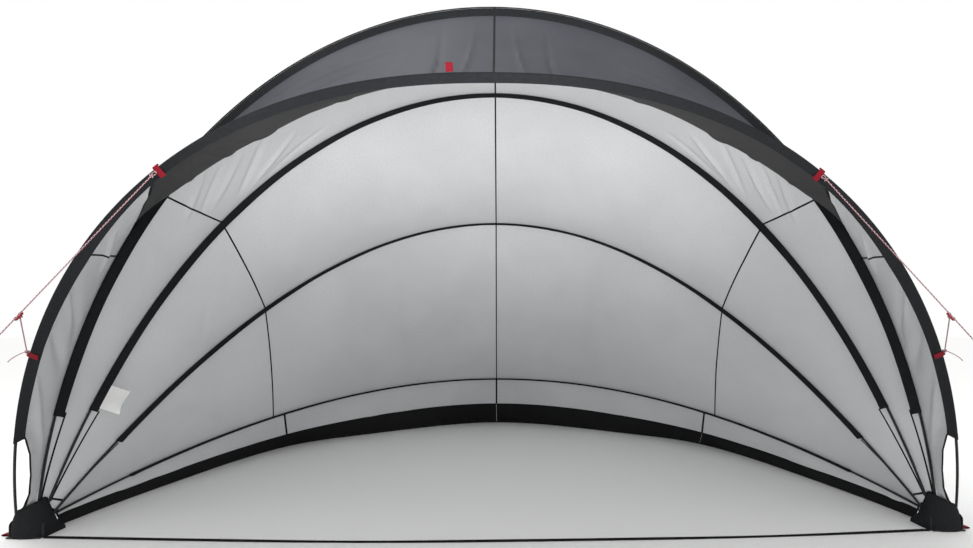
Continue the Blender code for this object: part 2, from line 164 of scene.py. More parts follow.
def gridPart(points, slot=0, wrap=False, flip=False):
    # A grid of points as quads, with a UV in metres measured along its middle row and column
    rows, columns = points.shape[:2]
    i, j = np.mgrid[0 : rows - 1, 0 : columns if wrap else columns - 1]
    corners = [(i, j), (i, j + 1), (i + 1, j + 1), (i + 1, j)]
    faces = stacked(*(a * columns + b % columns for a, b in corners)).reshape(-1, 4)
    column, row = points[:, columns // 2], points[rows // 2]
    if wrap:
        row = np.concatenate([row, row[:1]])
    along, across = distances(column), distances(row)
    uv = np.stack([stacked(along[a], across[b]) for a, b in corners], -2).reshape(-1, 4, 2)
    if flip:
        faces, uv = faces[:, ::-1], uv[:, ::-1]
    return {"points": points.reshape(-1, 3), "faces": [(faces, slot, uv)]}


def loftPart(rings, slot=0, caps=True):
    # Rings of points, counter-clockwise about the way they follow each other, closed by a face at each end
    part = gridPart(rings, slot, wrap=True)
    if caps:
        count = rings.shape[1]
        total = rings.shape[0] * count
        for ring, shown in ((np.arange(count)[::-1], rings[0]), (np.arange(total - count, total), rings[-1])):
            flat = shown - shown.mean(0)
            side = unit(flat[0])
            other = unit(flat[count // 4] - side * (flat[count // 4] @ side))
            place = stacked(flat @ side, flat @ other)
            place = place[::-1] if ring[0] > ring[-1] else place
            part["faces"].append((ring[None], slot, place[None]))
    return part


def shellPart(outer, inner, slots):
    # Two matching grids a cloth's thickness apart, joined round their border
    rows, columns = outer.shape[:2]
    total = rows * columns
    front, rear = gridPart(outer, slots[0]), gridPart(inner, slots[1], flip=True)
    index = np.arange(total).reshape(rows, columns)
    border = np.concatenate([index[0, :-1], index[:-1, -1], index[-1, :0:-1], index[:0:-1, 0]])
    after = np.roll(border, -1)
    rim = stacked(after, border, border + total, after + total)
    rearFaces, _, rearUv = rear["faces"][0]
    rimUv = np.zeros((len(rim), 4, 2))
    faces = [*front["faces"], (rearFaces + total, slots[1], rearUv), (rim, slots[2], rimUv)]
    return {"points": np.concatenate([front["points"], rear["points"]]), "faces": faces}


def roundRings(middle, radius, first, second, sides):
    # A circle at each point of a path, in the plane of two directions, with a radius for each point
    angle = np.linspace(0, 2 * np.pi, sides, endpoint=False)[None, :, None]
    size = np.broadcast_to(radius, len(middle))[:, None, None]
    return middle[:, None] + size * (np.cos(angle) * first[:, None] + np.sin(angle) * second[:, None])


def tubePart(path, radius, sides, slot=0, reference=(0.0, 0.0, 1.0), caps=True):
    # A circle carried along a path, square to it
    path = np.asarray(path, float)
    tangent = unit(np.gradient(path, axis=0))
    first = np.asarray(reference, float)
    sideways = unit(first - (tangent @ first)[:, None] * tangent)
    return loftPart(roundRings(path, radius, sideways, np.cross(tangent, sideways), sides), slot, caps)


def boxy(angle, power):
    # Cosine and sine of a superellipse, near a rounded rectangle at a low power
    return [np.sign(wave) * np.abs(wave) ** power for wave in (np.cos(angle), np.sin(angle))]


def ribbonPart(centre, across, outward, width, thickness, slot=0, sides=8):
    # A flat band: a rounded rectangle carried along its middle line
    flatX, flatY = boxy(np.linspace(0, 2 * np.pi, sides, endpoint=False) + np.pi / sides, 0.5)
    flatX, flatY = (flatX * width / 2)[None, :, None], (flatY * thickness / 2)[None, :, None]
    return loftPart(centre[:, None] + flatX * across[:, None] + flatY * outward[:, None], slot)


def makePiece(name, parts, materials, slot, body=None):
    # Joins parts into one mesh object at the origin, which stands for the CAD node of the same name. A piece
    # that isn't blended rides on a body.
    points, loops, sizes, slots, uvs, start = [], [], [], [], [], 0
    for part in parts:
        points.append(part["points"])
        for faces, index, uv in part["faces"]:
            loops.append((faces + start).ravel())
            sizes.append(np.full(len(faces), faces.shape[1]))
            slots.append(np.full(len(faces), index))
            uvs.append(uv.reshape(-1, 2))
        start += len(part["points"])
    points, loops, sizes = np.concatenate(points), np.concatenate(loops), np.concatenate(sizes)
    mesh = bpy.data.meshes.new(name)
    mesh.vertices.add(len(points))
    mesh.vertices.foreach_set("co", points.astype(np.float32).ravel())
    mesh.loops.add(len(loops))
    mesh.loops.foreach_set("vertex_index", loops.astype(np.int32))
    mesh.polygons.add(len(sizes))
    mesh.polygons.foreach_set("loop_start", (np.cumsum(sizes) - sizes).astype(np.int32))
    mesh.polygons.foreach_set("material_index", np.concatenate(slots).astype(np.int32))
    mesh.update(calc_edges=True)
    layer = mesh.uv_layers.new(name="metres")
    layer.data.foreach_set("uv", np.concatenate(uvs).astype(np.float32).ravel())
    mesh.polygons.foreach_set("use_smooth", np.ones(len(sizes), bool))
    mesh.set_sharp_from_angle(angle=math.radians(38.0))
    mesh.validate()
    for material in materials:
        mesh.materials.append(material)
    piece = addObject(name, mesh)
    if body:
        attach(piece, body)
    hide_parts("".join(f"_{letter.lower()}" if letter.isupper() else letter for letter in name))
    return piece


def betweenArches(piece):
    # Bakes the cloth's placement into its mesh; each point's angle about the axle is worked out but not used
    points = np.empty((len(piece.data.vertices), 3), np.float32)
    piece.data.vertices.foreach_get("co", points.ravel())
    points = points - axle
    angle = np.degrees(np.arctan2(points[:, 1], points[:, 2]))
    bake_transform(piece)


# Materials
def linear(hexColour):
    # sRGB hex to linear RGBA
    channels = [int(hexColour[k : k + 2], 16) / 255 for k in (1, 3, 5)]
    return (*[c / 12.92 if c <= 0.04045 else ((c + 0.055) / 1.055) ** 2.4 for c in channels], 1.0)


def setInputs(tree, node, inputs):
    # Inputs go by name or number, or in the node's own order. One that is given a socket is linked to it.
    for key, value in inputs.items() if isinstance(inputs, dict) else enumerate(inputs):
        if isinstance(value, bpy.types.NodeSocket):
            tree.links.new(value, node.inputs[key])
        else:
            node.inputs[key].default_value = value


def addNode(tree, kind, inputs=(), output=0, **settings):
    # Adds a node with its settings and links, and hands back one of its outputs
    node = tree.nodes.new(f"ShaderNode{kind}")
    for key, value in settings.items():
        setattr(node, key, value)
    setInputs(tree, node, inputs)
    return node.outputs[output]


def newMaterial(name, roughness, metallic=0.0, sheen=0.0, specular=0.5, ior=1.5):
    material = bpy.data.materials.new(name)
    material.use_nodes = True
    tree = material.node_tree
    shader = tree.nodes["Principled BSDF"]
    finish = {"Roughness": roughness, "Metallic": metallic, "IOR": ior, "Sheen Weight": sheen}
    setInputs(tree, shader, {**finish, "Specular IOR Level": specular})
    return material, tree, shader


def wovenCloth(
    name, colour, shade, roughness, thread, depth, sheen=0.0, mottle=1.6, specular=0.15, sewn=None
):
    # Plain weave: two sets of bands a thread apart, over large soft patches of a slightly darker shade. The
    # real threads are 0.2 to 0.4 mm, too fine to show, so they are drawn a few millimetres wide.
    material, tree, shader = newMaterial(name, roughness, sheen=sheen, specular=specular)
    uv = addNode(tree, "TexCoord", output="UV")
    place = addNode(tree, "TexCoord", output="Object")
    patches = addNode(
        tree, "TexNoise", {"Vector": place, "Scale": mottle, "Detail": 3.0, "Roughness": 0.55}, "Fac"
    )
    grain = addNode(tree, "TexNoise", {"Vector": uv, "Scale": 0.35 / thread, "Detail": 2.0}, "Fac")
    mottling = addNode(tree, "Math", (patches, grain), operation="MULTIPLY")
    shading = addNode(tree, "MapRange", (mottling, 0.12, 0.42, 0.0, 1.0))
    tone = addNode(tree, "Mix", {0: shading, 6: linear(shade), 7: linear(colour)}, 2, data_type="RGBA")
    # Bands both ways for the weave, and one more set for stitches. A wave texture's scale of 0.314 puts its
    # bands one unit apart.
    bands = []
    for pitch, direction in [(thread, "X"), (thread, "Y")] + ([(sewn["pitch"], "X")] if sewn else []):
        wave = {"Vector": uv, "Scale": 0.314 / pitch, "Distortion": 0.0}
        bands.append(addNode(tree, "TexWave", wave, "Fac", wave_type="BANDS", bands_direction=direction))
    if sewn:
        # A line of thread dashes along the cloth, at a set distance across it
        height = addNode(tree, "SeparateXYZ", (uv,), "Y")
        line = addNode(tree, "Math", (height, sewn["across"], sewn["width"]), operation="COMPARE")
        dash = addNode(tree, "Math", (bands[2], 0.45), operation="GREATER_THAN")
        stitches = addNode(tree, "Math", (line, dash), operation="MULTIPLY")
        tone = addNode(tree, "Mix", {0: stitches, 6: tone, 7: linear(sewn["colour"])}, 2, data_type="RGBA")
    low, high = max(roughness - 0.07, 0.05), min(roughness + 0.07, 1.0)
    rough = addNode(tree, "MapRange", (grain, 0.3, 0.7, low, high))
    weave = addNode(tree, "Math", bands[:2], operation="MULTIPLY")
    relief = addNode(tree, "Math", (grain, 0.8, weave), operation="MULTIPLY_ADD")
    bump = addNode(tree, "Bump", {"Height": relief, "Strength": depth, "Distance": 0.0006})
    setInputs(tree, shader, {"Base Color": tone, "Roughness": rough, "Normal": bump})
    return material


# PU-coated polyester, silver side in: a soft, slightly glossy light grey
silverCloth = wovenCloth("silverCoatedPolyester", "#d2d3d4", "#c4c5c7", 0.50, 0.004, 0.22, specular=0.3)
# The same cloth's outer face, dyed grey with a cool cast
greyCloth = wovenCloth("greyPolyesterOuterFace", "#46474c", "#383940", 0.62, 0.004, 0.25, mottle=3.0)
# Inner face of the awning: matte charcoal that is painted shade, for the shadow on the underside of its
# sagging belly
awningPaintedShadeCloth = wovenCloth("charcoalPolyester", "#424243", "#363637", 0.80, 0.005, 0.30)
# Cordura-like polyester of sleeves and boots: near black, coarse thread, with a sewn line
stitching = {"across": 0.052, "width": 0.0009, "pitch": 0.006, "colour": "#222326"}
blackCloth = wovenCloth(
    "blackOxfordPolyester", "#28292b", "#1f2022", 0.80, 0.005, 0.45, specular=0.05, sewn=stitching
)
# Ground skirt: PVC-coated black cloth, duller and darker
skirtCloth = wovenCloth("blackCoatedSkirtCloth", "#191a1b", "#121213", 0.66, 0.005, 0.35)
# Seam tape: grosgrain ribbon, fine ribs, dark grey
seamTape = wovenCloth("darkGrosgrainTape", "#141516", "#0e0f10", 0.72, 0.003, 0.5)
# Nylon webbing: strong ribs, deep red on the tags and black on the ground strap
redWebbing = wovenCloth("redNylonWebbing", "#860d20", "#6e0919", 0.62, 0.0022, 0.9, mottle=14.0)
blackWebbing = wovenCloth("blackNylonWebbing", "#101112", "#0a0b0c", 0.66, 0.0022, 0.9, mottle=9.0)
# Satin of the care label: white, with a silky gloss
labelSatin = wovenCloth("whiteSatinLabel", "#fdfcfb", "#f4f3f2", 0.38, 0.0015, 0.2, sheen=0.1, mottle=18.0)


def guyRope(name, colours, pitch, diameter):
    # Braided cord: strands wind both ways round it, so the two diagonal sets of bands make flecks
    material, tree, shader = newMaterial(name, 0.7, specular=0.2)
    uv = addNode(tree, "TexCoord", output="UV")
    strands = []
    for way in (1, -1):
        lay = (1 / pitch, way * 2 / (math.pi * diameter), 0.0)
        turned = addNode(tree, "VectorMath", (uv, lay), "Value", operation="DOT_PRODUCT")
        strands.append(addNode(tree, "Math", (turned,), operation="FRACT"))
    product = addNode(tree, "Math", strands, operation="MULTIPLY")
    fleck = addNode(tree, "Math", (product, 0.22), operation="GREATER_THAN")
    white, red = (linear(shade) for shade in colours)
    colour = addNode(tree, "Mix", {0: fleck, 6: white, 7: red}, 2, data_type="RGBA")
    bump = addNode(tree, "Bump", {"Height": product, "Strength": 0.6, "Distance": 0.0004})
    setInputs(tree, shader, {"Base Color": colour, "Normal": bump})
    return material


# Polypropylene guy rope, white with a red fleck; the real fleck is 3 mm long, drawn at 14 mm so that it shows
fleckedRope = guyRope("fleckedPolypropyleneRope", ("#b9a9ab", "#7d0c1f"), 0.014, 0.004)


def mouldedPlastic(name, colour, roughness, grit):
    # Spark-eroded mould texture: a fine, even orange peel that breaks up the highlight
    material, tree, shader = newMaterial(name, roughness, specular=0.3, ior=1.53)
    place = addNode(tree, "TexCoord", output="Object")
    wear = addNode(tree, "TexNoise", {"Vector": place, "Scale": 22.0, "Detail": 4.0}, "Fac")
    rough = addNode(tree, "MapRange", (wear, 0.0, 1.0, roughness - 0.1, roughness + 0.12))
    peel = addNode(tree, "TexNoise", {"Vector": place, "Scale": 1 / grit, "Detail": 2.0}, "Fac")
    bump = addNode(tree, "Bump", {"Height": peel, "Strength": 0.25, "Distance": 0.0003})
    setInputs(tree, shader, {"Base Color": linear(colour), "Roughness": rough, "Normal": bump})
    return material


# Glass-filled nylon of the hub brackets and pole tips: near black, satin
hubNylon = mouldedPlastic("blackGlassFilledNylon", "#1b1c1e", 0.48, 0.0012)
# Pultruded fibreglass rod: satin black with fine lengthwise streaks
poleRod = mouldedPlastic("blackFibreglassRod", "#17181a", 0.34, 0.004)
# Acetal of the sliders: red, a little glossier than the webbing
sliderNylon = mouldedPlastic("redAcetalSlider", "#b3182e", 0.40, 0.0015)


def zincSteel(name, colour, roughness):
    # Hot-dip galvanised steel: dull grey metal with a faint crystal pattern, about 6 mm across
    material, tree, shader = newMaterial(name, roughness, metallic=1.0)
    place = addNode(tree, "TexCoord", output="Object")
    crystals = addNode(tree, "TexVoronoi", {"Vector": place, "Scale": 160.0}, "Distance")
    spread = addNode(tree, "MapRange", (crystals, 0.0, 1.0, roughness - 0.08, roughness + 0.15))
    setInputs(tree, shader, {"Base Color": linear(colour), "Roughness": spread})
    return material


pegSteel = zincSteel("galvanisedSteelWire", "#b9bbbd", 0.38)
print("materials made")

# Cloth between neighbouring arches
clothSettings = {
    "thickness": 0.0008,
    "crown": 0.0095,  # how far outside the poles the cloth passes
    "seamRoom": 0.0006,  # half of the slit between two cloths along an arch
    "hemReach": 0.066,  # where the cloth begins, from the axle
    "hemInset": 0.0008,  # of the tape along a panel's end, as a share of its length
    "arcReach": 0.118,  # the tape that runs across every panel round the hub
    "dartReach": 0.105,
    "tapeWidth": 0.010,
    "tapeThickness": 0.0028,
    "arcRadius": 2.35,  # turns a fold's angle into metres along the cloth
}


def spanSurface(fore, aft, foreTurns, aftTurns, sag, foreEdge, aftEdge, folds):
    # A ruled surface from the fore arch (v = 0) to the aft arch (v = 1), pulled in towards the axle by
    # 4 sag v (1 - v) and by its folds, each a Gaussian ridge about a short line
    radius = clothSettings["arcRadius"]

    def place(u, v):
        u, v = grids(u, v)
        foreTurn = foreTurns[0] + u * (foreTurns[1] - foreTurns[0])
        aftTurn = aftTurns[0] + u * (aftTurns[1] - aftTurns[0])
        a = archPoint(fore, foreTurn, *foreEdge(foreTurn))
        b = archPoint(aft, aftTurn, *aftEdge(aftTurn))
        inward = unit(
            (archPoint(fore, foreTurn, -1.0) - archPoint(fore, foreTurn)) * (1 - v)[..., None]
            + (archPoint(aft, aftTurn, -1.0) - archPoint(aft, aftTurn)) * v[..., None]
        )
        depth = 4 * sag(aftTurn) * v * (1 - v)
        width = np.linalg.norm(b - a, axis=-1)
        here = stacked(np.radians(foreTurn * (1 - v) + aftTurn * v) * radius, v * width)
        for t0, v0, t1, v1, spread, height in folds:
            start = stacked(math.radians(t0) * radius, v0 * width)
            run = stacked(math.radians(t1) * radius, v1 * width) - start
            share = np.clip(((here - start) * run).sum(-1) / (run**2).sum(-1), 0, 1)
            apart = np.linalg.norm(here - start - run * share[..., None], axis=-1)
            ends = np.sin(np.pi * np.clip(share * 0.96 + 0.02, 0, 1)) ** 0.7
            depth = depth + height * ends * np.exp(-((apart / spread) ** 2)) * (np.sin(np.pi * v) ** 0.5)
        return a + (b - a) * v[..., None] + inward * depth[..., None]

    return place


def surfaceNormal(place, u, v):
    # Outward normal from central differences: across the cloth crossed with along it
    step = 1e-3
    u, v = grids(u, v)
    low, high = np.clip(v - step, 0, 1), np.clip(v + step, 0, 1)
    left, right = np.clip(u - step, 0, 1), np.clip(u + step, 0, 1)
    return unit(np.cross(place(u, high) - place(u, low), place(right, v) - place(left, v)))


def clothParts(place, rows, columns, slots=(0, 1, 1), crowd=0.0):
    # Crowd draws the rows towards a quarter and three quarters of the length, where the folds are
    u, v = np.linspace(0, 1, rows)[:, None], np.linspace(0, 1, columns)[None]
    u = u + crowd / (4 * np.pi) * np.sin(4 * np.pi * u)
    middle, normal = place(u, v), surfaceNormal(place, u, v)
    half = clothSettings["thickness"] / 2
    return shellPart(middle + normal * half, middle - normal * half, slots)


def tapeOn(place, u, v, width=clothSettings["tapeWidth"], slot=2):
    # A sewn tape that lies on both faces of the cloth along a line of u and v
    u, v = grids(u, v)
    centre, normal = place(u, v), surfaceNormal(place, u, v)
    across = unit(np.cross(normal, unit(np.gradient(centre, axis=0))))
    return ribbonPart(centre, across, normal, width, clothSettings["tapeThickness"], slot)


def declareCloth(place):
    # The cut's longest width and length along its grid, worked out and then dropped
    grid = place(np.linspace(0, 1, 121)[:, None], np.linspace(0, 1, 41)[None])
    length = np.linalg.norm(np.diff(grid, axis=0), axis=-1).sum(0).max()
    width = np.linalg.norm(np.diff(grid, axis=1), axis=-1).sum(1).max()


def crownEdge(side):
    # Where cloth meets an arch: over the pole's crown, a hair to one side of it
    return lambda turn: (clothSettings["crown"], side * clothSettings["seamRoom"])


def sagOf(amount, tightness=0.35):
    # Tight along the crown and loose at the shoulders: sag h^2 (1 - c h^8), where h is the height's share
    def sag(turn):
        height = np.sin(np.radians(turn))
        return amount * height**2 * (1 - tightness * np.abs(height) ** 8)

    return sag


def mirrored(folds):
    # Each fold given on the left side (turn above 90) is repeated on the right
    return [*folds, *[(180 - a, b, 180 - c, d, w, h) for a, b, c, d, w, h in folds]]


def randomFolds(seed, count, turns, width, height):
    # Short soft creases strewn over a panel
    dice = np.random.default_rng(seed)
    t0 = dice.uniform(*turns, count)
    v0 = dice.uniform(0.08, 0.75, count)
    t1 = t0 + dice.normal(0, 3.0, count)
    v1 = np.clip(v0 + dice.uniform(0.15, 0.45, count), 0, 0.97)
    spread = dice.uniform(*width, count)
    rise = dice.uniform(*height, count) * dice.choice([-1, 1], count)
    return stacked(t0, v0, t1, v1, spread, rise).tolist()


def shareAt(turns, turn):
    # Where a turn lies between the first and the last, from 0 to 1
    return (turn - turns[0]) / (turns[1] - turns[0])


# Each panel by the arch before it: the arch behind it, sag, the shoulder seam's turns on the two arches, the
# dart's share of the width and its upper end's distance from the axle, and the folds on the left
panelSettings = {
    "top": {
        "aft": "middle",
        "sag": 0.03,
        "seam": (43.1, 45.6),
        "dart": (0.315, 0.525),
        "seed": 11,
        "crowd": 0.6,
        "folds": [
            (137.0, 0.50, 131.0, 0.20, 0.016, 0.014),
            (135.5, 0.62, 128.5, 0.30, 0.014, -0.012),
            (134.0, 0.70, 127.0, 0.40, 0.016, 0.013),
            (130.5, 0.85, 123.0, 0.40, 0.017, -0.014),
            (129.0, 0.92, 120.0, 0.62, 0.016, 0.015),
            (126.5, 0.93, 116.5, 0.80, 0.014, -0.012),
            (105.0, 0.10, 107.0, 0.90, 0.024, 0.005),
            (98.0, 0.20, 98.5, 0.90, 0.020, 0.005),
        ],
    },
    "middle": {
        "aft": "low",
        "sag": 0.04,
        "seam": (45.6, 45.5),
        "dart": (0.185, 0.545),
        "seed": 12,
        "crowd": 0.0,
        "folds": [(150.0, 0.03, 141.0, 0.97, 0.05, 0.012), (122.0, 0.03, 119.0, 0.97, 0.06, 0.010)],
    },
    "low": {
        "aft": "rear",
        "sag": 0.05,
        "seam": (45.5, 40.0),
        "dart": (0.10, 0.46),
        "seed": 13,
        "crowd": 0.0,
        "folds": [(150.0, 0.03, 146.0, 0.97, 0.06, 0.012), (112.0, 0.03, 113.0, 0.97, 0.07, 0.010)],
    },
}
line = np.linspace(0.0, 1.0, 61)
hemLine = np.linspace(0.01, 0.99, 41)

for foreName, settings in panelSettings.items():
    fore, aft = arches[foreName], arches[settings["aft"]]
    foreTurns, aftTurns = (turnsFrom(arch, clothSettings["hemReach"]) for arch in (fore, aft))
    folds = mirrored(settings["folds"])
    folds += randomFolds(settings["seed"], 26, (30, 150), (0.02, 0.06), (0.001, 0.004))
    sag = sagOf(settings["sag"])
    place = spanSurface(fore, aft, foreTurns, aftTurns, sag, crownEdge(1), crownEdge(-1), folds)
    parts = [clothParts(place, 641, 61, crowd=settings["crowd"])]
    a, b = settings["seam"]
    for foreTurn, aftTurn in ((a, b), (90.0, 90.0), (180 - a, 180 - b)):
        along = shareAt(foreTurns, foreTurn) * (1 - line) + shareAt(aftTurns, aftTurn) * line
        parts.append(tapeOn(place, along, line))
    arc = shareAt(foreTurns, turnAt(fore, clothSettings["arcReach"]))
    dartAcross, dartEnd = settings["dart"]
    dart = shareAt(foreTurns, turnAt(fore, np.linspace(clothSettings["dartReach"], dartEnd, 41)))
    for end in (0.0, 1.0):
        parts.append(tapeOn(place, abs(end - clothSettings["hemInset"]), hemLine))
        parts.append(tapeOn(place, np.abs(end - arc), hemLine))
        parts.append(tapeOn(place, np.abs(end - dart), dartAcross, width=0.008))
    piece = makePiece(f"{foreName}Panel", parts, [greyCloth, silverCloth, seamTape], "silver_fabric")
    betweenArches(piece)
    declareCloth(place)
print("panels made")

# Front cloth: the awning over the middle, its inner face painted dark as shade, and a silver wing at each
# side
frontSettings = {
    "seamTurns": (64.1, 38.2),  # the shoulder seam, along the front and the top arch
    "wingSeamTurns": (53.3, 35.1),  # a tape across each wing
    "ends": (0.075, 0.10),  # where the wings begin on the two arches, from the axle
    "awningHang": -0.034,  # the awning is sewn to the top sleeve's inner edge, the wings to its outer one
    "sleeveSide": 0.0048,  # how far behind the front sleeve's middle the cloth leaves it
    "freeEdge": {  # the wing's lower edge draws away from the pole: distance from the axle against offset
        "reach": (0.0, 0.07, 0.12, 0.20, 0.31, 0.42, 0.49, 0.54, 0.60),
        "out": (0.0, -0.004, -0.036, -0.058, -0.064, -0.057, -0.036, -0.010, 0.0062),
    },
    "sag": {  # turn along the top arch against sag
        "turn": (18.0, 32.5, 38.7, 41.3, 43.8, 46.9, 51.0, 57.2, 64.4, 71.6, 79.8, 90.0),
        "amount": (0.0, 0.0, 0.006, 0.022, 0.052, 0.071, 0.09, 0.114, 0.116, 0.118, 0.113, 0.105),
    },
}
front, top = arches["front"], arches["top"]


def fromSide(turn):
    # Turn counted from the nearer side, so that left and right match
    return 90 - np.abs(np.asarray(turn) - 90)


def frontSag(turn):
    # The table's sag, averaged over four turns close by so that it has no kinks
    table = frontSettings["sag"]
    around = (fromSide(turn) + shift for shift in (-1.2, -0.4, 0.4, 1.2))
    return sum(np.interp(away, table["turn"], table["amount"]) for away in around) / 4


def frontEdge(turn):
    # Along the sleeve, and then away from the bare pole
    power = 2 / front["square"]
    foot = math.sin(math.radians(front["splay"])) ** power
    reach = front["rise"] * (np.abs(np.sin(np.radians(fromSide(turn)))) ** power - foot) / (1 - foot)
    table = frontSettings["freeEdge"]
    return np.interp(reach, table["reach"], table["out"]), frontSettings["sleeveSide"]


def awningEdge(turn):
    # The awning's rear edge drops to the sleeve's inner edge in the first degrees past the shoulder seam
    share = smooth((fromSide(turn) - frontSettings["seamTurns"][1] - 0.5) / 5.0)
    crown = clothSettings["crown"]
    return crown + (frontSettings["awningHang"] - crown) * share, -clothSettings["seamRoom"] - 0.006 * share


frontWhole, topWhole = (turnsFrom(arch, end) for arch, end in zip((front, top), frontSettings["ends"]))
seamFront, seamTop = frontSettings["seamTurns"]
frontWing, topWing = (frontWhole[0], seamFront), (topWhole[0], seamTop)
# Creases that fan out from each guy tag, long soft ones down the wings, and a few short ones at the crown
frontFolds = mirrored(
    [
        (113.5, 0.02, 128.0, 0.70, 0.010, 0.005),
        (113.0, 0.02, 122.0, 0.75, 0.012, 0.005),
        (112.0, 0.02, 115.0, 0.85, 0.014, 0.006),
        (114.5, 0.03, 133.0, 0.60, 0.010, 0.005),
        (102.0, 0.05, 106.0, 0.95, 0.020, 0.005),
        (95.0, 0.10, 96.5, 0.95, 0.012, 0.012),
        (92.8, 0.15, 92.4, 0.95, 0.011, -0.010),
        (124.0, 0.90, 101.0, 0.82, 0.012, -0.009),
        (118.0, 0.76, 104.0, 0.74, 0.012, 0.006),
        (128.0, 0.93, 112.0, 0.92, 0.010, 0.008),
        (130.0, 0.10, 154.0, 0.98, 0.020, -0.022),
        (134.0, 0.20, 151.0, 0.85, 0.016, 0.018),
        (138.0, 0.22, 156.0, 0.92, 0.018, -0.018),
        (142.0, 0.15, 163.0, 0.85, 0.014, 0.012),
        (131.0, 0.40, 143.0, 0.80, 0.014, 0.014),
    ]
)
frontFolds += randomFolds(21, 22, (50, 130), (0.008, 0.03), (0.001, 0.003))
for panelName, foreTurns, aftTurns, foot in (
    ("frontAwning", (seamFront, 180 - seamFront), (seamTop, 180 - seamTop), None),
    ("frontWingRight", frontWing, topWing, 0.0),
    ("frontWingLeft", (180 - seamFront, frontWhole[1]), (180 - seamTop, topWhole[1]), 1.0),
):
    place = spanSurface(front, top, foreTurns, aftTurns, frontSag, frontEdge, awningEdge, frontFolds)
    parts = [clothParts(place, 301, 91)]
    if foot is None:
        # The awning's inner face gets the charcoal of painted shade
        faces, slot = awningPaintedShadeCloth, "charcoal_fabric"
        parts.append(tapeOn(place, 0.5, line))
        parts += [tapeOn(place, abs(end - 0.002), line, width=0.012) for end in (0.0, 1.0)]
    else:
        faces, slot = silverCloth, "silver_fabric"
        parts.append(tapeOn(place, abs(foot - 0.003), line, width=0.014))
        foreShare, aftShare = map(shareAt, (frontWing, topWing), frontSettings["wingSeamTurns"])
        seam = np.abs(foot - foreShare * (1 - line) - aftShare * line)
        parts.append(tapeOn(place, seam, line, width=0.009))
        # A short dart beside the top arch, and the binding along the free edge below the sleeve
        dartLine = np.linspace(0.0, 1.0, 21)
        dart = np.abs(foot - np.minimum(shareAt(topWing, 41.3 - 3.5 * dartLine), 0.995))
        parts.append(tapeOn(place, dart, 0.80 + 0.16 * dartLine, width=0.006))
        last = shareAt(frontWing, turnsFrom(front, 0.60)[0])
        parts.append(tapeOn(place, np.abs(foot - np.linspace(0.0, last, 61)), 0.003, width=0.013))
    piece = makePiece(panelName, parts, [greyCloth, faces, seamTape], slot)
    betweenArches(piece)
    declareCloth(place)
print("front cloth made")

# Sleeves: a pocket of black cloth round each pole, deeper on its inner side, sewn along its inner edge
sleeveSettings = {
    "start": {"front": 0.465, "top": 0.52, "middle": 0.54, "low": 0.45, "rear": 0.50},  # from the axle
    "depth": {  # turns, and the depth at each
        "front": (
            (30, 39, 43, 49, 53, 57, 61, 65, 74, 90),
            (0.034, 0.036, 0.034, 0.035, 0.035, 0.030, 0.025, 0.022, 0.026, 0.026),
        ),
        "top": ((0, 20, 34, 59, 90), (0.038, 0.040, 0.045, 0.044, 0.036)),
        "middle": ((0, 48, 75, 90), (0.038, 0.036, 0.026, 0.020)),
        "low": ((0, 38, 50, 65, 90), (0.026, 0.030, 0.026, 0.019, 0.014)),
        "rear": ((0, 50, 90), (0.020, 0.018, 0.014)),
    },
    "radius": 0.0073,
    "hem": 0.0013,  # half the thickness of its flat inner edge
    "ripple": 0.0016,
    "slant": 0.75,  # degrees by which the front sleeve's inner edge stops short at each end
    "binding": 0.0006,  # how far the bound ends stand proud
    "tapeWidth": 0.012,
}


def sleeveRings(archName, turns, seed, grow=0.0):
    # Teardrop: a round nose of the pole's size, then half widths that fall by a cosine to the flat hem
    s = sleeveSettings
    dice = np.random.default_rng(seed)
    shares = np.array([1.0, 0.93, 0.72, 0.42, 0.10])
    nose = stacked(shares, np.sqrt(1 - shares**2)) * (s["radius"] + grow)
    inner = np.array([-0.12, -0.28, -0.45, -0.62, -0.78, -0.90, -1.0])
    fall = 0.5 + 0.5 * np.cos(np.pi * np.clip(-inner / 0.92, 0, 1))
    half = s["hem"] + grow + (s["radius"] - s["hem"]) * fall
    depth = np.interp(fromSide(turns), *s["depth"][archName])
    phase = dice.uniform(0, 2 * np.pi, 6)
    wave = dice.uniform(0.4, 2.4, 6)
    ripple = np.sin(np.radians(turns)[:, None] * 2.4 * 2 * np.pi * wave + phase).mean(-1) * s["ripple"]
    noses = np.broadcast_to(nose[:, 0], (len(turns), len(nose)))
    outs = np.concatenate([noses, inner[None] * (depth + ripple + grow)[:, None]], 1)
    halves = np.broadcast_to(np.concatenate([nose[:, 1], half]), outs.shape)
    shift = ripple[:, None] * 0.35 * np.clip(-outs / depth[:, None], 0, 1)
    backs = np.concatenate([halves + shift, (shift - halves)[:, :0:-1]], 1)
    outs = np.concatenate([outs, outs[:, :0:-1]], 1)
    toCrown = np.sign(90 - turns) * np.clip((np.abs(turns - 90) - 35) / 15, 0, 1)
    slant = (s["slant"] if archName == "front" else 0.0) * toCrown[:, None]
    turns = turns[:, None] + slant * np.clip(-outs / depth[:, None], 0, 1)
    return archPoint(arches[archName], turns, outs, backs)


for number, (archName, arch) in enumerate(arches.items()):
    start, stop = turnsFrom(arch, sleeveSettings["start"][archName])
    parts = [loftPart(sleeveRings(archName, np.linspace(start, stop, 300), 40 + number))]
    binding = np.linspace(-0.05, 0.55, 6)
    for bound in (start + binding, stop - binding[::-1]):
        parts.append(loftPart(sleeveRings(archName, bound, 40 + number, sleeveSettings["binding"])))
    # Ridge tape over the cloth seam along the arch's crown
    if archName != "front":
        ridge = np.linspace(start - 6, stop + 6, 241)
        _, outward, across = archFrame(arch, ridge)
        centre = archPoint(arch, ridge, clothSettings["crown"] + 0.0014)
        parts.append(ribbonPart(centre, -across, outward, sleeveSettings["tapeWidth"], 0.0016, 1))
    makePiece(f"{archName}Sleeve", parts, [blackCloth, seamTape], "black_fabric", bodies[archName])
print("sleeves made")

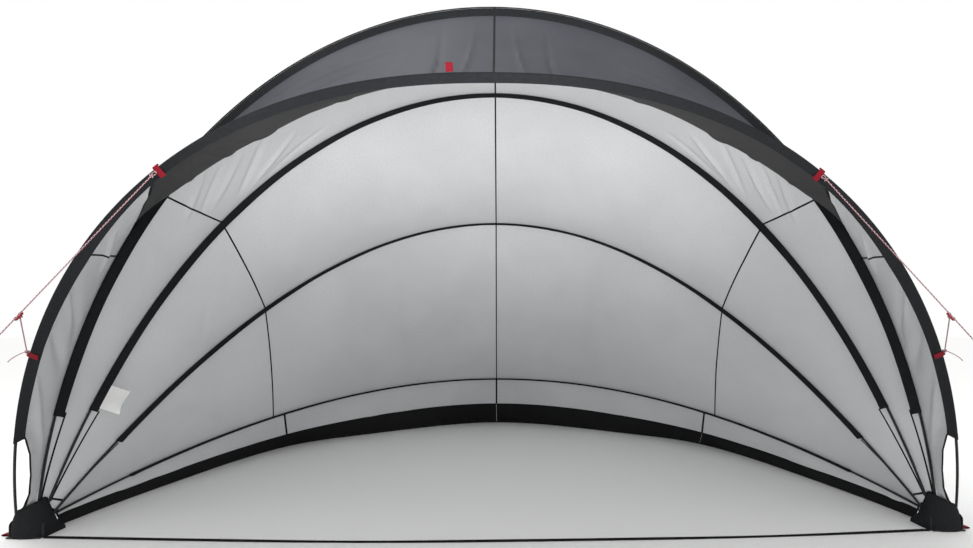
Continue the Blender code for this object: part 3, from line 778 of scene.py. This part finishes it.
# Poles: fibreglass rods with a tapered nylon tip at each end, whose eye turns on the axle
poleSettings = {
    "radius": 0.0055,
    "eye": (0.0088, 0.0046, 0.010),  # outer and inner radius, and width
    "tip": {
        "reach": np.array([0.0072, 0.010, 0.016, 0.030, 0.040, 0.045]),
        "size": np.array([0.0050, 0.0062, 0.0072, 0.0070, 0.0066, 0.0058]),
    },
}


def eyePart(centre, slot=1):
    # A ring about the axle: a rounded rectangle turned round it
    outer, inner, width = poleSettings["eye"]
    turn = np.linspace(0, 2 * np.pi, 33)[:-1, None]
    radial, along = boxy(np.linspace(0, 2 * np.pi, 13)[:-1] + np.pi / 12, 0.45)
    radial = (outer + inner) / 2 + (outer - inner) / 2 * radial
    rings = centre + stacked(width / 2 * along, np.cos(turn) * radial, np.sin(turn) * radial)
    rings = np.concatenate([rings, rings[:1]])
    return gridPart(rings[:, ::-1], slot, wrap=True)


def rodPart(arch, turns, radius, slot=0):
    # A circle at each turn along an arch, square to it
    middle, outward, backward = archFrame(arch, turns)
    return loftPart(roundRings(middle, radius, outward, backward, 16), slot)


for archName, arch in arches.items():
    parts = [rodPart(arch, np.linspace(*turnsFrom(arch, 0.0085), 401), poleSettings["radius"])]
    reach, size = poleSettings["tip"]["reach"], poleSettings["tip"]["size"]
    tip = turnAt(arch, reach)
    for side, tipTurns, tipSize in ((1, tip, size), (-1, 180 - tip[::-1], size[::-1])):
        parts.append(rodPart(arch, tipTurns, tipSize, 1))
        parts.append(eyePart(np.array([side * arch["span"], axle[1], axle[2]])))
    makePiece(f"{archName}Pole", parts, [poleRod, hubNylon], "fibreglass", bodies[archName])
print("poles made")

# Rear wall and ground skirt
wallSettings = {
    "seamTurn": 42.0,
    "bayRoom": 0.009,
    "end": 0.115,  # from the axle
    "skirtHeights": (0.045, 0.20),  # at the hubs and at the middle
    "shareAtHub": 0.8,
    "flap": 0.05,
    "footBetween": 0.03,
    "footHumps": ((0.15, 90, 17.0), (0.19, 42.0, 13.0), (0.19, 138.0, 13.0)),  # reach, turn and width
    "sideways": 0.35,
    "flareShare": 0.45,
    "drop": 0.010,
    "ground": 0.0018,
}
rear = arches["rear"]


def wallLevels(turn):
    # Pole line, top of the skirt, foot and flap's edge at each turn; the foot stands out most at the middle
    # and the two seams, by Gaussian humps
    w = wallSettings
    turn = np.asarray(turn, float)
    reach = w["footBetween"]
    for hump, at, width in w["footHumps"]:
        reach = reach + (hump - w["footBetween"]) * np.exp(-(((turn - at) / width) ** 2))
    height = np.sin(np.radians(turn))
    flare = np.clip((height - 0.2) / 0.3, 0, 1) * reach
    outward = unit(stacked(w["sideways"] * np.cos(np.radians(turn)), 1.0, 0.0))
    foot = archPoint(rear, turn, -w["drop"]) + outward * flare[..., None]
    foot[..., 2] = w["ground"]
    hung = archPoint(rear, turn, clothSettings["crown"], clothSettings["seamRoom"])
    level = hung + (foot - hung) * w["flareShare"]
    low, high = w["skirtHeights"]
    level[..., 2] = np.minimum(low + (high - low) * height**2, w["shareAtHub"] * (hung[..., 2] - 0.012))
    return hung, level, foot, foot + outward * w["flap"], outward


def wallSurface(turns, folds):
    # From the rear pole straight down to the top of the skirt, with soft folds that run up from its foot
    def place(u, v):
        u, v = grids(u, v)
        turn = turns[0] + u * (turns[1] - turns[0])
        hung, level, _, _, outward = wallLevels(turn)
        fade = np.sin(np.pi * (0.08 + 0.92 * v) / 2) ** 2
        fade = fade * np.sin(np.pi * np.clip(u, 0, 1)) ** 0.4 * np.sin(np.pi * np.clip(v, 0, 1)) ** 0.5
        ridges = (h * np.exp(-(((turn - at - lean * v) / wide) ** 2)) for at, lean, wide, h in folds)
        depth = fade * sum(ridges)
        return hung + (level - hung) * v[..., None] + outward * depth[..., None]

    return place


def skirtSurface(turns, seed):
    # Down from the wall to the ground in a soft bend, then out along it; the flap waves a little
    phase = np.random.default_rng(seed).uniform(0, 2 * np.pi, 4)

    def place(u, v):
        u, v = grids(u, v)
        turn = turns[0] + u * (turns[1] - turns[0])
        _, level, foot, flap, outward = wallLevels(turn)
        upper = np.clip(v / 0.7, 0, 1)[..., None]
        lower = np.clip((v - 0.7) / 0.3, 0, 1)[..., None]
        wave = sum(np.sin(np.radians(turn) * n + p) for n, p in zip((17, 29, 41, 59), phase)) / 4
        bend = np.sin(np.pi * upper[..., 0]) * 0.010 * wave
        point = level + (foot - level) * upper + (flap - foot) * lower + outward * bend[..., None]
        point[..., 2] = np.maximum(point[..., 2], wallSettings["ground"])
        return point

    return place


seam, room = wallSettings["seamTurn"], wallSettings["bayRoom"]
first, last = turnsFrom(rear, wallSettings["end"])
bays = {
    "RightSide": (first, seam - room),
    "RightBack": (seam + room, 90 - room),
    "LeftBack": (90 + room, 180 - seam - room),
    "LeftSide": (180 - seam + room, last),
}
for number, (bayName, turns) in enumerate(bays.items()):
    dice = np.random.default_rng(60 + number)
    folds = [
        (at, dice.uniform(-2, 2), dice.uniform(1.0, 2.6), dice.uniform(-0.012, 0.010))
        for at in np.linspace(turns[0] + 3, turns[1] - 3, 7)
    ]
    place = wallSurface(turns, folds)
    parts = [clothParts(place, 161, 31)]
    parts += [tapeOn(place, abs(end - 0.0015), np.linspace(0, 1, 41)) for end in (0.0, 1.0)]
    wall = makePiece(f"wall{bayName}", parts, [greyCloth, silverCloth, seamTape], "silver_fabric", "root")
    declareCloth(place)
    place = skirtSurface(turns, 80 + number)
    parts = [clothParts(place, 201, 33, slots=(0, 0, 0))]
    parts.append(tapeOn(place, np.linspace(0, 1, 161), 0.004, width=0.012, slot=1))
    skirt = makePiece(f"skirt{bayName}", parts, [skirtCloth, seamTape], "black_fabric", "root")
    declareCloth(place)
print("walls and skirts made")

# Feet: a moulded bracket with an axle, in a cloth boot, with a webbing tab outside it
footSettings = {
    "cheeks": (2.1165, 2.2645),  # inner faces
    "cheekThickness": 0.005,
    "cheekHalf": 0.025,
    "cheekTop": 0.076,
    "plate": (0.0023, 0.0083),
    "plateHalf": 0.04,
    "boot": (2.105, 2.2725),  # inner and outer side on the ground
    "bootLean": (0.016, 0.034),  # of the outer and inner side, at the rim
    "bootReach": (-0.043, 0.088),  # front and back, from the axle
    "bootHeights": (0.150, 0.038),  # front and back
    "bootCloth": 0.0016,
    "tab": (2.2745, 2.319),
    "tabWidth": 0.025,
    "tabLoop": (  # share of the tab's length against height in millimetres
        (0, 0.35, 0.7, 0.93, 1.0, 0.9, 0.62, 0.3, 0.06),
        (1.2, 1.0, 1.4, 3.4, 6.6, 9.6, 10.8, 9.4, 7.0),
    ),
}


def roundedBox(size, centre, radius, turn=None, steps=3):
    # Each point of a cube's grid is pulled in to an inner box and pushed out by the radius
    half = np.array(size) / 2 - radius
    ramp = np.tan(np.linspace(0, np.pi / 4, steps + 1)) + 1e-9
    ramp = np.concatenate([-ramp[::-1], ramp])
    parts = []
    for axis in range(3):
        for side in (-1, 1):
            a, b = np.meshgrid(ramp, ramp)
            cube = np.roll(stacked(float(side), a * side, b), axis, axis=-1)
            points = np.sign(cube) * half + unit(cube) * radius
            if turn is not None:
                points = points @ np.asarray(turn).T
            parts.append(gridPart(points + centre))
    return parts


def ringPart(centre, axis, outer, inner, thickness, slot=0, count=32):
    # A flat washer or ring: a rounded rectangle turned round an axis
    axis = unit(np.asarray(axis, float))
    first = unit(np.cross(axis, (0.0, 0.6, 0.8)))
    second = np.cross(axis, first)
    turn = np.linspace(0, 2 * np.pi, count + 1)[:, None, None]
    radial, along = boxy((np.linspace(0, 2 * np.pi, 13)[:-1] + np.pi / 12)[None, :, None], 0.4)
    radial = (outer + inner) / 2 + (outer - inner) / 2 * radial
    around = radial * (np.cos(turn) * first + np.sin(turn) * second)
    return gridPart((np.asarray(centre) + around + thickness / 2 * along * axis)[:, ::-1], slot, wrap=True)


def bootSurface(side):
    # Plan path from the back of the outer side round the front to the back of the inner side: a superellipse
    # in its front half. v runs from the floor's middle line to the wall's foot at 0.35, then up to the rim.
    f = footSettings
    inner, outer = f["boot"]
    start, stop = f["bootReach"]
    middle, half = (inner + outer) / 2, (outer - inner) / 2
    bend = half * 0.9

    def place(u, v):
        u, v = grids(u, v)
        swing = np.clip((u - 0.3) / 0.4, 0, 1) * np.pi
        across = np.sign(np.cos(swing)) * np.abs(np.cos(swing)) ** 0.62
        forth = np.clip(np.sin(swing), 0, 1) ** 0.62
        straight = np.where(u < 0.3, 1 - u / 0.3, np.clip((u - 0.7) / 0.3, 0, 1))
        x = middle + half * across
        y = start + bend - bend * forth + (stop - start - bend) * straight
        wall = np.clip((v - 0.35) / 0.65, 0, 1)
        front, back = f["bootHeights"]
        rim = front + (back - front) * smooth((y - 0.01) / (stop - 0.02))
        rim = rim - 0.030 * np.clip(across, -1, 1) * (1 - straight) - 0.012 * forth
        z = 0.0012 + (rim - 0.0012) * wall
        outerLean, innerLean = f["bootLean"]
        lean = (outerLean * np.clip(across, 0, 1) + innerLean * np.clip(across, -1, 0)) * wall**3
        tuck = 0.010 * wall**2 * forth * (1 - straight)
        slack = (0.0035 * np.sin(u * 47) * np.sin(np.pi * wall) + 0.0025 * np.sin(u * 23 + 2)) * wall
        x = middle + (x - middle) * np.clip(v / 0.35, 0, 1) + slack - lean
        return stacked(side * x, axle[1] + y + tuck, z)

    return place


for sideName, side in (("Left", -1), ("Right", 1)):
    f = footSettings
    low, high = f["cheeks"]
    thick, half = f["cheekThickness"], f["cheekHalf"]
    plateLow, plateHigh = f["plate"]
    plate = (high - low + 2 * thick, 2 * f["plateHalf"], plateHigh - plateLow)
    parts = roundedBox(plate, (side * (low + high) / 2, axle[1], (plateLow + plateHigh) / 2), 0.0018)
    # A cheek with a rounded top: an arched outline, thickened across, with two ribs
    height = f["cheekTop"] - plateHigh + 0.001
    turns = np.linspace(0, np.pi, 33)
    outline = stacked(half * np.cos(turns), height - half + half * np.sin(turns))
    outline = np.concatenate([[[half, 0]], outline, [[-half, 0]]])
    for x, inward in ((low - thick / 2, 1), (high + thick / 2, -1)):
        rings = []
        for along, shrink in ((-0.5, 0.0012), (-0.38, 0.0), (0.38, 0.0), (0.5, 0.0012)):
            y, z = outline[:, 0] * (1 - shrink / half), outline[:, 1] * (1 - shrink / height)
            ring = stacked(side * (x + along * thick), axle[1] + y, plateHigh - 0.001 + z)
            rings.append(ring if side > 0 else ring[::-1])
        parts.append(loftPart(np.array(rings)))
        for rib in (-0.013, 0.013):
            foot = (side * (x + inward * 0.006), axle[1] + rib, plateHigh + 0.008)
            parts += roundedBox((0.010, 0.003, 0.018), foot, 0.001)
    makePiece(f"hub{sideName}", parts, [hubNylon], "black_plastic", "root")

    ends = low + 0.0003, high - 0.0003
    rod = stacked(side * np.linspace(*ends, 5), axle[1], axle[2])
    parts = [tubePart(rod if side > 0 else rod[::-1], 0.004, 20)]
    for x in (ends[0] + 0.0012, ends[1] - 0.0012):
        parts.append(ringPart((side * x, axle[1], axle[2]), (1, 0, 0), 0.008, 0.0038, 0.0016))
    makePiece(f"axle{sideName}", parts, [pegSteel], "galvanised_steel", "root")

    place = bootSurface(side)
    u, v = np.linspace(0, 1, 140)[:, None], np.linspace(0, 1, 41)[None]
    surface, normal = place(u, v), surfaceNormal(place, u, v)
    half = f["bootCloth"] / 2
    surface = surface + np.array([0, 0, half * 0.2])
    parts = [shellPart(surface + normal * half, surface - normal * half, (0, 0, 0))]
    parts.append(tubePart(place(np.linspace(0, 1, 141), 1.0), 0.0028, 10, 1))
    makePiece(f"boot{sideName}", parts, [blackCloth, seamTape], "black_fabric", "root")

    # The tab runs out along the ground and curls back over itself in a flat loop
    x0, x1 = f["tab"]
    x, z = (np.interp(np.linspace(0, 8, 49), np.arange(9), values) for values in f["tabLoop"])
    soft = np.array([0.25, 0.5, 0.25])
    for _ in range(4):
        x[1:-1], z[1:-1] = np.convolve(x, soft, "valid"), np.convolve(z, soft, "valid")
    centre = stacked(side * (x0 + (x1 - x0) * x), axle[1] + 0.003, z / 1000)
    across = np.broadcast_to([0.0, 1.0, 0.0], centre.shape)
    outward = np.cross(unit(np.gradient(centre, axis=0)), across)
    parts = [ribbonPart(centre, across, outward, f["tabWidth"], 0.0014)]
    makePiece(f"hubTab{sideName}", parts, [redWebbing], "red_webbing", "root")


# The strap that holds the two feet apart: flat webbing on the ground, bowed to the front, that rolls a little
strapSettings = {"end": 2.1025, "bow": 0.08, "setback": 0.03, "width": 0.012, "thickness": 0.002}
run = np.linspace(-1, 1, 161)
setback = strapSettings["setback"] + strapSettings["bow"] * (1 - run**2)
centre = stacked(strapSettings["end"] * run, axle[1] - setback, 0.0032 + 0.0012 * np.sin(run * 19) ** 2)
roll = np.radians(48 + 22 * np.sin(run * 7.0 + 0.5))[:, None]
tangent = unit(np.gradient(centre, axis=0))
flat = unit(np.cross((0.0, 0.0, 1.0), tangent))
across = flat * np.cos(roll) + np.cross(tangent, flat) * np.sin(roll)
outward = np.cross(tangent, across)
width = strapSettings["width"]
centre[:, 2] = width / 2 * np.abs(np.sin(roll[:, 0])) + 0.0016
parts = [ribbonPart(centre, across, outward, width, strapSettings["thickness"])]
makePiece("groundStrap", parts, [blackWebbing], "black_fabric", "root")
print("feet made")

# Tags: webbing sewn across the front sleeve, folded to a loop past its outer edge
tagSettings = {
    "guyTurn": 64.3,
    "tieTurn": 42.5,
    "topTurn": 92.2,
    "width": 0.025,
    "thickness": 0.0014,
    "path": (  # out and back from the pole's middle line
        *((-0.0290, -0.0066), (-0.021, -0.0082), (-0.012, -0.0090), (-0.003, -0.0093), (0.006, -0.0090)),
        *((0.0112, -0.0076), (0.0138, -0.0048), (0.0125, -0.0020), (0.0092, -0.0006)),
    ),
    "topPath": (
        *((0.0095, -0.0030), (0.0160, -0.0050), (0.0260, -0.0062), (0.0345, -0.0050), (0.0375, -0.0012)),
        *((0.0345, 0.0024), (0.0260, 0.0034), (0.0160, 0.0024), (0.0095, 0.0008)),
    ),
}


def curveThrough(points, count):
    # Catmull-Rom: each stretch is a cubic whose ends run parallel to their neighbours
    points = np.asarray(points, float)
    wide = np.concatenate([2 * points[:1] - points[1:2], points, 2 * points[-1:] - points[-2:-1]])
    share = np.linspace(0, len(points) - 1 - 1e-9, count)
    k = share.astype(int)
    t = (share - k)[:, None]
    a, b, c, d = wide[k], wide[k + 1], wide[k + 2], wide[k + 3]
    return 0.5 * (2 * b + (c - a) * t + (2 * a - 5 * b + 4 * c - d) * t**2 + (3 * b - a - 3 * c + d) * t**3)


def makeTag(name, turn, path):
    # A band along a path that is given out and back from the front pole's middle line
    path = curveThrough(path, 41)
    middle = archPoint(front, turn, path[:, 0], path[:, 1])
    across = unit(archPoint(front, turn + 0.1) - archPoint(front, turn - 0.1))
    across = np.broadcast_to(across, middle.shape)
    outward = unit(np.cross(unit(np.gradient(middle, axis=0)), across))
    parts = [ribbonPart(middle, across, outward, tagSettings["width"], tagSettings["thickness"])]
    # Rows of stitching where the webbing lies on the sleeve
    for share in (-0.36, 0.36):
        row = middle[2:20] + across[2:20] * tagSettings["width"] * share - outward[2:20] * 0.0007
        parts.append(tubePart(row, 0.0005, 6, 1, reference=(0.3, 1.0, 0.2)))
    makePiece(name, parts, [redWebbing, seamTape], "red_webbing", "front_arch")


# Guy lines: rope from the tag to a peg, with a slider on it and a tie from the slider to the lower tag
guySettings = {
    "radius": 0.002,
    "knotRadius": 0.0018,
    "peg": (2.42, 0.80),  # aside, and forward of the axle
    "pegHeight": 0.055,
    "pegRadius": 0.0035,
    "hook": ((0, 0.0), (0, 0.42), (0, 0.78), (0.09, 0.96), (0.28, 1.0), (0.46, 0.93), (0.52, 0.82)),
    "hitch": 0.7,  # the rope's height on the peg, as a share of the peg's
    "sliderShare": 0.336,
    "tail": 0.075,
    "folded": 0.12,
}
loopTurn = np.linspace(0, 2 * np.pi, 41)[:, None]


def knotPart(centre, size, turn):
    # Trefoil: x = sin t + 2 sin 2t, y = cos t - 2 cos 2t, z = -sin 3t
    t = np.linspace(0, 2 * np.pi, 73)
    curve = stacked(np.sin(t) + 2 * np.sin(2 * t), np.cos(t) - 2 * np.cos(2 * t), -np.sin(3 * t)) / 3 * size
    path = curve @ turn.T + centre
    return tubePart(path, guySettings["knotRadius"], 10, reference=(0.31, 0.52, 0.79), caps=False)


def loopPart(centre, along, aside, reference):
    # A loop of rope through a tag, longer along than aside
    loop = centre + 0.009 * np.cos(loopTurn) * along + 0.0045 * np.sin(loopTurn) * aside
    return tubePart(loop, guySettings["knotRadius"], 8, reference=reference, caps=False)


def ropePart(start, run, length, aside, points):
    # A straight rope: circles along start + run s, for s up to its length
    rope = start + run * np.linspace(0, length, points)[:, None]
    return tubePart(rope, guySettings["radius"], 10, reference=aside)


for sideName, side in (("Left", -1), ("Right", 1)):
    g = guySettings
    guyTurn, tieTurn = (90 + side * (tagSettings[name] - 90) for name in ("guyTurn", "tieTurn"))
    makeTag(f"guyTag{sideName}", guyTurn, tagSettings["path"])
    makeTag(f"tieTag{sideName}", tieTurn, tagSettings["path"])

    # Upper end: tied to the tag's lower edge, on the sleeve's front face; lower end: over the peg's hook
    eye = archPoint(front, guyTurn - side * 0.22, -0.005, -0.0115)
    below = unit(archPoint(front, guyTurn - side * 0.1) - archPoint(front, guyTurn))
    start = eye + below * 0.016
    peg = np.array([side * g["peg"][0], axle[1] - g["peg"][1], 0.0])
    hitch = peg + np.array([-side * (g["pegRadius"] + 0.004), 0.0, g["hitch"] * g["pegHeight"]])
    run = unit(hitch - start)
    length = np.linalg.norm(hitch - start)
    aside = unit(np.cross(run, (0.0, 0.0, 1.0)))
    basis = stacked(aside, np.cross(aside, run), run)
    across = unit(archPoint(front, guyTurn, 1.0) - archPoint(front, guyTurn))
    ring = np.concatenate([np.cos(loopTurn), np.sin(loopTurn), 0.25 * np.cos(loopTurn)], -1)
    ring = np.array([peg[0], peg[1], hitch[2]]) + 0.0058 * ring
    parts = [
        ropePart(start, run, length, aside, 161),
        loopPart((eye + start) / 2, -below, across, np.cross(below, across)),
        knotPart(start + run * 0.006, 0.0062, basis),
        tubePart(ring, g["knotRadius"], 8, caps=False),
        knotPart(hitch - run * 0.010, 0.0062, basis),
    ]
    guyLine = makePiece(f"guyLine{sideName}", parts, [fleckedRope], "guy_rope", "front_arch")

    # Slider: a rounded plate with a hole at each end for the rope, which passes through it twice
    tieEye = archPoint(front, tieTurn, 0.0142, -0.0052)
    crossing = start + run * length * g["sliderShare"]
    toTie = tieEye - crossing
    beside = unit(toTie - run * (toTie @ run))
    seat = crossing + beside * 0.0085
    facing = stacked(np.cross(beside, run), beside, run)
    parts = roundedBox((0.008, 0.012, 0.035), seat, 0.003, turn=facing)
    for share in (-0.011, 0.011):
        parts.append(ringPart(seat + run * share, facing[:, 0], 0.0048, 0.0022, 0.0098, 1, count=24))
    slider = makePiece(f"slider{sideName}", parts, [sliderNylon, hubNylon], "red_webbing", "front_arch")

    # Tie from the slider to the lower tag, with a short tail that sticks out past its knot
    first = seat + beside * 0.0075
    tieRun = unit(tieEye - first)
    tieLength = np.linalg.norm(tieEye - first) - 0.012
    tieEnd = first + tieRun * tieLength
    tieBelow = unit(tieEye - tieEnd)
    tieAside = unit(np.cross(tieRun, (0.0, 1.0, 0.0)))
    tieBasis = stacked(tieAside, np.cross(tieRun, tieAside), tieRun)
    share = np.linspace(0, 1, 33)[:, None]
    out, drop, sway = np.array([[side, -0.05, 0.0], [0, 0, -0.55], [0.0, 1.0, 0.4]])
    tail = tieEnd + g["tail"] * (out * share + drop * share**1.6) + 0.004 * np.sin(share * 7) * sway
    parts = [
        ropePart(first, tieRun, tieLength, tieAside, 61),
        knotPart(tieEnd - tieRun * 0.004, 0.0062, tieBasis),
        knotPart(first + tieRun * 0.008, 0.0058, tieBasis),
        loopPart((tieEye + tieEnd) / 2, tieBelow, tieAside, np.cross(tieBelow, tieAside)),
        tubePart(tail, g["knotRadius"], 8, reference=(0.0, 1.0, 0.2)),
    ]
    tieLine = makePiece(f"tieLine{sideName}", parts, [fleckedRope], "guy_rope", "front_arch")

    # Each rope piece gets its own copy of its mesh; the direction in to the line between its two tags is
    # worked out but not used
    betweenTags = unit(tieEye - eye)
    drawIn = unit(run - betweenTags * (run @ betweenTags))
    for piece in (guyLine, slider, tieLine):
        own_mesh(piece)

    # Peg: galvanised wire, bent over to a hook that points away from the dome
    hook = curveThrough(g["hook"], 49) * g["pegHeight"]
    path = peg + stacked(side * hook[:, 0], 0.0, hook[:, 1])
    parts = [tubePart(path, g["pegRadius"], 16, reference=(0.0, 1.0, 0.0))]
    makePiece(f"peg{sideName}", parts, [pegSteel], "galvanised_steel", "root")

# A small tag just left of the crown
makeTag("topTag", tagSettings["topTurn"], tagSettings["topPath"])

# Care label: a blank satin slip hanging from the foot of the middle sleeve, curled at its free corners
labelSettings = {"size": (0.120, 0.104), "thickness": 0.0006, "reach": 0.615, "below": 0.0385}
middle = arches["middle"]
labelTurn = turnsFrom(middle, labelSettings["reach"])[1]
u, v = np.meshgrid(np.linspace(-0.5, 0.5, 33), np.linspace(0, 1, 29), indexing="ij")
curl = 0.010 * v**2 * np.cos(u * 5 + 0.4) + 0.004 * np.sin(u * 8) * v + 0.012 * np.clip(v + u - 1.0, 0, 1)
hang = archPoint(middle, labelTurn, -labelSettings["below"] - v * labelSettings["size"][1], -curl)
along = unit(archPoint(middle, labelTurn + 0.1) - archPoint(middle, labelTurn - 0.1))
label = hang + along * (u * labelSettings["size"][0])[..., None]
normal = unit(np.cross(np.gradient(label, axis=0), np.gradient(label, axis=1)))
half = labelSettings["thickness"] / 2
parts = [shellPart(label - normal * half, label + normal * half, (0, 0, 0))]
makePiece("careLabel", parts, [labelSatin], "label_cloth", "middle_arch")
print("tags, guy lines, pegs and label made")

# Floor, light and background
floorMaterial, floorTree, floorShader = newMaterial("paleFloor", 0.9)
setInputs(floorTree, floorShader, {"Base Color": linear("#fbfbfa")})
floorMesh = bpy.data.meshes.new("floor")
corners = [(30.0 * x, 30.0 * y, 0) for x, y in ((-1, -1), (1, -1), (1, 1), (-1, 1))]
floorMesh.from_pydata(corners, [], [(0, 1, 2, 3)])
floorMesh.materials.append(floorMaterial)
addObject("floor", floorMesh)

world = bpy.data.worlds.new("studio")
bpy.context.scene.world = world
world.use_nodes = True
setInputs(world.node_tree, world.node_tree.nodes["Background"], {"Color": linear("#ffffff"), "Strength": 1.0})

# Each lamp: place, aim, size, power and spread
lamps = {
    "key": ((-0.5, -4.6, 0.7), (0.0, 0.2, 3.2), 1.6, 13.0, 50.0),
    "inside": ((0.0, -1.0, 0.1), (0.0, -0.45, 2.5), 1.6, 9.0, 100.0),
    "left": ((-3.2, -4.4, 0.6), (1.8, 0.0, 2.1), 1.2, 6.0, 50.0),
    "right": ((3.2, -4.4, 0.6), (-1.8, 0.0, 2.1), 1.2, 6.0, 50.0),
    "above": ((-2.0, -1.0, 6.5), (0.0, 0.5, 0.0), 3.0, 120.0, 180.0),
}
for lampName, (place, aim, size, power, spread) in lamps.items():
    data = bpy.data.lights.new(lampName, "AREA")
    data.size, data.energy, data.spread = size, power, math.radians(spread)
    lamp = addObject(lampName, data)
    lamp.visible_camera = False
    lamp.location = place
    away = unit(np.array(place) - np.array(aim))
    lamp.rotation_euler = (math.acos(away[2]), 0.0, math.atan2(away[0], -away[1]))
print("stage set")

bpy.context.scene.view_settings.view_transform = "Standard"
bpy.context.scene.view_settings.look = "None"
